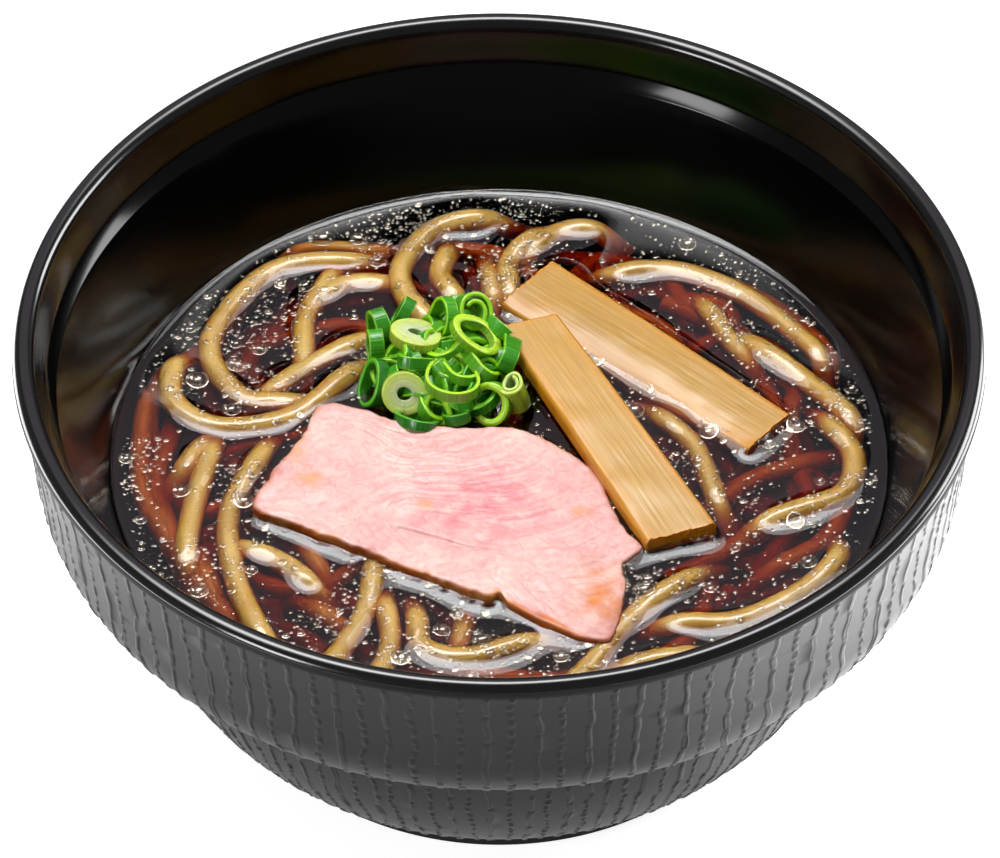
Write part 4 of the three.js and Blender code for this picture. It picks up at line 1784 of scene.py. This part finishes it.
@dataclass(frozen=True)
class Wetness:
    """How thickly the oil drops lie, from 0 to 1: in clumps, and more along the left shore."""

    seed: int
    patch: float
    usual: float = 0.42
    shore_from: float = 66
    shore_width: float = 8

    def at(self, places: np.ndarray) -> np.ndarray:
        """The share of drops at places.

        Args:
            places: (x, y) rows in millimetres.

        Returns:
            One share for each.
        """
        clumps = rough_noise(np.c_[places / self.patch, np.zeros(len(places))], self.seed, 2)
        out = (np.hypot(places[:, 0], places[:, 1]) - self.shore_from) / self.shore_width
        shore = np.clip(out, 0, 1) * (places[:, 0] < 20)
        return np.clip(self.usual + clumps * 0.6 + shore * 0.1, 0.1, 1)


@dataclass
class Surface:
    """The settled top of the soup: heights over a square grid, and the climb at the wall."""

    axis: np.ndarray
    height: np.ndarray
    level: float
    edge: float
    climb: float
    fading: float

    def at(self, places: np.ndarray) -> np.ndarray:
        """The height of the soup at places.

        Args:
            places: (x, y) rows in millimetres.

        Returns:
            One height for each.
        """
        step = self.axis[1] - self.axis[0]
        at = (places - self.axis[0]) / step
        low = np.clip(np.floor(at).astype(int), 0, len(self.axis) - 2)
        part = at - low
        i, j = low.T
        h = self.height
        near = h[i, j] * (1 - part[:, 1]) + h[i, j + 1] * part[:, 1]
        far = h[i + 1, j] * (1 - part[:, 1]) + h[i + 1, j + 1] * part[:, 1]
        inland = np.maximum(self.edge - np.hypot(places[:, 0], places[:, 1]), 0)
        wall = self.climb * np.exp(-inland / self.fading)
        return self.level + near * (1 - part[:, 0]) + far * part[:, 0] + wall


@dataclass
class Broth:
    """The soup: a closed body that reaches just into the wall, its top drawn up round the food.

    `shore` is how far inland each ring of corners near the wall lies.
    """

    level: float
    bowl: Bowl
    wall_climb: float = 0.75
    wall_fading: float = 1.3
    food_climb: float = 1.4
    film: float = 0.06
    capillary_length: float = 2.5
    settling_rounds: int = 260
    overlap: float = 0.15
    cell: float = 0.55
    margin: float = 3
    across: int = 264
    ground_across: int = 140
    ground_inset: float = 1.6
    shore: tuple[float, ...] = (4.0, 3.3, 2.7, 2.2, 1.8, 1.4, 1.1, 0.8, 0.55, 0.35, 0.18, 0.0, -0.15)

    def surface(self, noodles: Sequence[bpy.types.Object], toppings: Sequence[bpy.types.Object]) -> Surface:
        """Let the top settle: flat away from things, climbing the wall, noodles and toppings.

        Args:
            noodles: pieces that a film of soup covers.
            toppings: pieces that it only climbs.

        Returns:
            The settled surface.
        """
        reach = self.bowl.soup_radius + self.margin
        axis = np.linspace(-reach, reach, int(2 * reach / self.cell) + 1)
        x, y = np.meshgrid(axis, axis, indexing="ij")
        radius = np.hypot(x, y)
        inside = radius < self.bowl.soup_radius + 1
        covered, climbed = (seen_from_above(pieces, x, y, inside) for pieces in (noodles, toppings))
        edge = self.bowl.wall_radius(self.level + self.wall_climb)
        over = covered + self.film - self.level
        side = np.clip(climbed - self.level, -50, self.food_climb)
        least = np.maximum(over, side)
        height = np.zeros_like(x)
        pull = (axis[1] - axis[0]) ** 2 / self.capillary_length ** 2
        for _ in range(self.settling_rounds):
            around = np.zeros_like(height)
            beside = height[2:, 1:-1] + height[:-2, 1:-1] + height[1:-1, 2:] + height[1:-1, :-2]
            around[1:-1, 1:-1] = beside / (4 + pull)
            height = np.maximum(around, least)
            height[radius >= edge] = 0
        return Surface(axis, height, self.level, edge, self.wall_climb, self.wall_fading)

    def body(self, surface: Surface, material: bpy.types.Material) -> bpy.types.Object:
        """The closed body of soup under a settled surface.

        Args:
            surface: the settled top.
            material: the finish.

        Returns:
            The closed mesh.
        """
        places, quads, rim = disc_grid(self.across)
        top = places * (surface.edge - self.shore[0])
        angles = np.arctan2(top[rim][:, 1], top[rim][:, 0])
        rings = []
        for inland in self.shore[1:]:
            ring = round_axis(surface.edge - inland, angles, 0.0)
            ring[:, 2] = surface.at(ring[:, :2])
            rings.append(ring)
        wall = self.bowl.inner_wall()
        wall = wall[(wall[:, 1] < self.level + self.wall_climb - 0.6) & (wall[:, 0] > 1)]
        for radius, height in wall[::4]:
            rings.append(round_axis(radius + self.overlap, angles, height - self.overlap))
        rows = [rim, *(len(top) + np.arange(len(rings) * len(rim)).reshape(-1, len(rim)))]
        faces = [quads]
        for upper, lower in zip(rows, rows[1:]):
            faces.append(np.stack([upper, lower, np.roll(lower, -1), np.roll(upper, -1)], axis=1))
        faces.append(fan(rows[-1], rows[-1][-1] + 1, flip=True))
        tip = np.array([[0, 0, self.bowl.floor_height - self.overlap]])
        points = np.vstack([np.c_[top, surface.at(top)], *rings, tip])
        return mesh_piece("broth_body", points, faces, [material])

    def ground(self, wetness: Wetness) -> bpy.types.Object:
        """A flat sheet as wide as the soup, only there to scatter drops over.

        Args:
            wetness: how thickly the drops lie.

        Returns:
            The sheet, with its wetness as an attribute.
        """
        places, quads, _ = disc_grid(self.ground_across)
        top = places * (self.bowl.soup_radius - self.ground_inset)
        flat = np.c_[top, np.zeros(len(top))]
        return mesh_piece("drop_ground", flat, [quads], shading={"wet": wetness.at(top)})


@dataclass
class OilDrops:
    """Drops of fat on the soup, from specks to coins: a flat top and a sloping rim.

    `section` is the half section of a drop of radius 1 mm, and `skew` makes small ones commoner.
    """

    name: str
    smallest: float
    largest: float
    spacing: float
    per_square_cm: float
    seed: int
    section: tuple[Place, ...]
    sides: int = 12
    skew: float = 2.5
    edge_from: float = 0.6

    def lens(self, materials: Sequence[bpy.types.Material]) -> bpy.types.Object:
        """One drop of radius 1 mm.

        Args:
            materials: the finishes of the bent edge and of the top.

        Returns:
            The drop, linked to no scene.
        """
        points, faces = turned(np.array(self.section), self.sides)
        drop = mesh_piece(self.name + "_lens", points, faces, materials)
        out = np.array([np.hypot(*face.center.xy) / MM for face in drop.data.polygons])
        drop.data.polygons.foreach_set("material_index", (out < self.edge_from).astype(np.int32))
        bpy.context.scene.collection.objects.unlink(drop)
        return drop

    def scatter(
        self, ground: bpy.types.Object, surface: Surface, materials: Sequence[bpy.types.Material],
    ) -> bpy.types.Object:
        """Scatter the drops over the ground with Geometry Nodes and lift them onto the soup.

        Args:
            ground: a flat sheet with the drops' density.
            surface: the soup's top, which the drops follow.
            materials: the finishes of the edge and of the top.

        Returns:
            All the drops as one plain mesh.
        """
        values = {
            "Lens": self.lens(materials), "Spacing": self.spacing * MM, "Density": self.per_square_cm * 1e4,
            "Smallest": self.smallest, "Largest": self.largest, "Skew": self.skew, "Seed": self.seed,
        }
        source = bpy.data.objects.new(self.name + "_ground", ground.data.copy())
        piece = realised(source, drop_tree(), values, self.name)
        places = np.empty(len(piece.data.vertices) * 3)
        piece.data.vertices.foreach_get("co", places)
        places = places.reshape(-1, 3)
        places[:, 2] += surface.at(places[:, :2] / MM) * MM
        piece.data.vertices.foreach_set("co", places.ravel())
        piece.data.update()
        return piece


COIN = ((0, 0.0), (1.0, 0.0), (0.975, 0.03), (0.94, 0.052), (0.9, 0.062), (0.84, 0.065), (0, 0.066))
LENS = ((0, 0.0), (1.0, 0.0), (0.93, 0.07), (0.84, 0.122), (0.74, 0.152), (0.64, 0.16), (0, 0.162))
BEAD = ((0, 0.0), (1.0, 0.0), (0.86, 0.12), (0.64, 0.185), (0, 0.19))
DOME = ((0, 0.0), (1.0, 0.0), (0.7, 0.2), (0, 0.27))
AFLOAT = (
    OilDrops("oil_mist", 0.16, 0.3, 0.42, 95, 1, DOME, sides=5, skew=1.3),
    OilDrops("oil_specks", 0.3, 0.62, 0.72, 62, 4, BEAD, sides=7, skew=1.8),
    OilDrops("oil_drops", 0.42, 1.0, 1.5, 14, 2, LENS, sides=14, skew=2.0),
    OilDrops("oil_coins", 1.1, 2.6, 4.6, 2.0, 5, COIN, sides=32, skew=2.0),
)


def drop_tree() -> bpy.types.NodeTree:
    """Geometry Nodes that lay lenses of random size on a ground, thicker where it is wetter."""
    tree, given = node_group("scattered_drops", {
        "Ground": "Geometry", "Lens": "Object", "Spacing": "Float", "Density": "Float",
        "Smallest": "Float", "Largest": "Float", "Skew": "Float", "Seed": "Int",
    }, "Drops")
    wet = add_node(tree, "GeometryNodeInputNamedAttribute", {"Name": "wet"}, {"data_type": "FLOAT"})
    points = add_node(tree, "GeometryNodeDistributePointsOnFaces", {
        "Mesh": given["Ground"], "Distance Min": given["Spacing"], "Density Max": given["Density"],
        "Density Factor": wet.outputs["Attribute"], "Seed": given["Seed"],
    }, {"distribute_method": "POISSON"})
    draw = add_node(tree, "FunctionNodeRandomValue", {"Seed": given["Seed"]}, {"data_type": "FLOAT"})
    skewed = add_node(tree, "ShaderNodeMath", {0: draw.outputs[1], 1: given["Skew"]}, {"operation": "POWER"})
    size = add_node(tree, "ShaderNodeMapRange", {
        "Value": skewed.outputs["Value"], "To Min": given["Smallest"], "To Max": given["Largest"],
    })
    lens = add_node(tree, "GeometryNodeObjectInfo", {"Object": given["Lens"]})
    drops = add_node(tree, "GeometryNodeInstanceOnPoints", {
        "Points": points.outputs["Points"], "Instance": lens.outputs["Geometry"],
        "Scale": size.outputs["Result"],
    })
    real = add_node(tree, "GeometryNodeRealizeInstances", {"Geometry": drops.outputs["Instances"]})
    add_node(tree, "NodeGroupOutput", {"Drops": real.outputs["Geometry"]})
    return tree


# ---------- the studio ----------


@dataclass(frozen=True)
class Softbox:
    """A soft light: where it hangs, its width and height, watts, grid angle in degrees and colour."""

    name: str
    place: Spot
    size: Place
    power: float
    spread: float = 180.0
    colour: Spot = (1.0, 1.0, 1.0)
    aim: Spot = (0.0, 0.0, 60.0)

    def hang(self) -> None:
        """Put the light in the scene, facing its aim."""
        lamp = bpy.data.lights.new(self.name, "AREA")
        lamp.shape = "RECTANGLE"
        lamp.size, lamp.size_y = self.size[0] * MM, self.size[1] * MM
        lamp.energy = self.power
        lamp.spread = math.radians(self.spread)
        lamp.color = self.colour
        light = bpy.data.objects.new(self.name, lamp)
        light.location = Vector(self.place) * MM
        light.rotation_euler = (Vector(self.aim) * MM - light.location).to_track_quat("-Z", "Y").to_euler()
        bpy.context.scene.collection.objects.link(light)


@dataclass
class Studio:
    """Camera, white sweep and soft lights."""

    target: Spot = (0.13, 0.0, 61.64)
    distance: float = 1500.0
    elevation: float = 44.93
    lens: float = 274.2
    sensor_width: float = 36.0
    farthest_metres: float = 20.0
    sky: float = 0.15
    sweep_width: float = 9000.0
    lights: tuple[Softbox, ...] = (
        Softbox("main from above and behind", (-100, 355, 1150), (1000, 300), 1.95, 90.0),
        Softbox("its soft surround", (-100, 358, 1160), (1400, 560), 3.1, 90.0),
        Softbox("key from the right", (990, 480, 430), (640, 380), 9.0),
        Softbox("fill from the left", (-850, -750, 620), (340, 340), 5.0),
        Softbox("pale wall behind", (0, 1500, 1500), (2200, 1500), 4.1, 180.0, (1.0, 0.86, 1.0)),
    )

    def camera(self) -> None:
        """Put up the camera, looking along +Y and down."""
        data = bpy.data.cameras.new("camera")
        data.lens = self.lens
        data.sensor_width = self.sensor_width
        data.clip_end = self.farthest_metres
        camera = bpy.data.objects.new("camera", data)
        tilt = math.radians(self.elevation)
        back = Vector((0, -math.cos(tilt), math.sin(tilt)))
        camera.location = (Vector(self.target) + back * self.distance) * MM
        camera.rotation_euler = (math.pi / 2 - tilt, 0, 0)
        bpy.context.scene.collection.objects.link(camera)
        bpy.context.scene.camera = camera

    def build(self) -> None:
        """Put up the sweep, the sky and the lights."""
        half = self.sweep_width / 2
        corners = np.array([(-half, -half, 0), (half, -half, 0), (half, half, 0), (-half, half, 0)])
        # the sweep glows by itself: painted light on the ground
        paper = GlowingStudioPaper("glowing white paper").material()
        sweep = mesh_piece("sweep", corners, [np.array([[0, 1, 2, 3]])], [paper])
        world = bpy.data.worlds.new("studio")
        world.use_nodes = True
        sky = world.node_tree.nodes["Background"].inputs
        sky["Color"].default_value = (1, 1, 1, 1)
        sky["Strength"].default_value = self.sky
        bpy.context.scene.world = world
        for light in self.lights:
            light.hang()
        bpy.context.scene.view_settings.view_transform = "Standard"


# ---------- putting it together ----------


def main() -> None:
    """Build the studio, the bowl and everything in it, in order."""
    logging.basicConfig(level=logging.INFO, format="%(message)s")
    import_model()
    studio = Studio()
    studio.camera()
    studio.build()

    dull = MouldedResin("textured black resin", "#09090a", 0.42, 1.25, grit=0.02).material()
    satin = MouldedResin("satin black resin", "#070708", 0.16, 1.62).material()
    gloss = MouldedResin("polished black resin", "#030303", 0.13, 1.33).material()
    # painted shade: a darker, barely reflecting copy of the resin for the foot and the lip's outer rows
    shaded = MouldedResin("bare black resin", "#060606", 0.6, 1.2).material()
    bowl = Bowl()
    lower, upper = bowl.grain_curves()
    serve(bowl.body([dull, satin, gloss, shaded]), "bowl", "bowl")
    serve(GrainBand("lower_tier_grain", lower, seed=3).build(dull), "bowl", "bowl")
    serve(GrainBand("upper_tier_grain", upper, seed=4).build(dull), "bowl", "bowl")

    noodles = Noodles(bowl.soup_level)
    dough = WheatNoodle("boiled wheat noodle").material()
    crest_paths = [noodles.crest_path(strand) for strand in SHOWING_STRANDS + SUNK_STRANDS]
    crest = noodles.drawn("noodle_strands", crest_paths, 0.9, 16, dough)
    deep = noodles.drawn("noodle_tangle", noodles.deep_paths(), 1.8, 10, dough)
    for piece in (crest, deep, noodles.core(dough)):
        serve(piece, "noodles", "noodles")

    pork = serve(PorkSlice().build(RoastPork("roast pork").material()), "pork", "pork")
    bamboo = BambooShoot("braised bamboo shoot").material()
    front = serve(FRONT_MENMA.build(bamboo), "menma", "menma_front")
    back = serve(BACK_MENMA.build(bamboo), "menma", "menma_back")
    onion = SpringOnion()
    leaf = SpringOnionLeaf("sliced spring onion").material()
    onion_core = serve(onion.core(leaf), "spring_onion", "spring_onion")
    serve(onion.build(leaf), "spring_onion", "spring_onion")

    broth = Broth(bowl.soup_level, bowl)
    surface = broth.surface([crest], [pork, front, back, onion_core])
    serve(broth.body(surface, SoyBroth("soy broth").material()), "broth", "broth")
    oil = [SurfaceOil("melted fat edge", share=0.28).material(), SurfaceOil("melted fat").material()]
    ground = broth.ground(Wetness(seed=7, patch=9.0))
    for drops in AFLOAT:
        serve(drops.scatter(ground, surface, oil), "broth")
    bpy.data.objects.remove(ground)


if __name__ == "__main__":
    main()
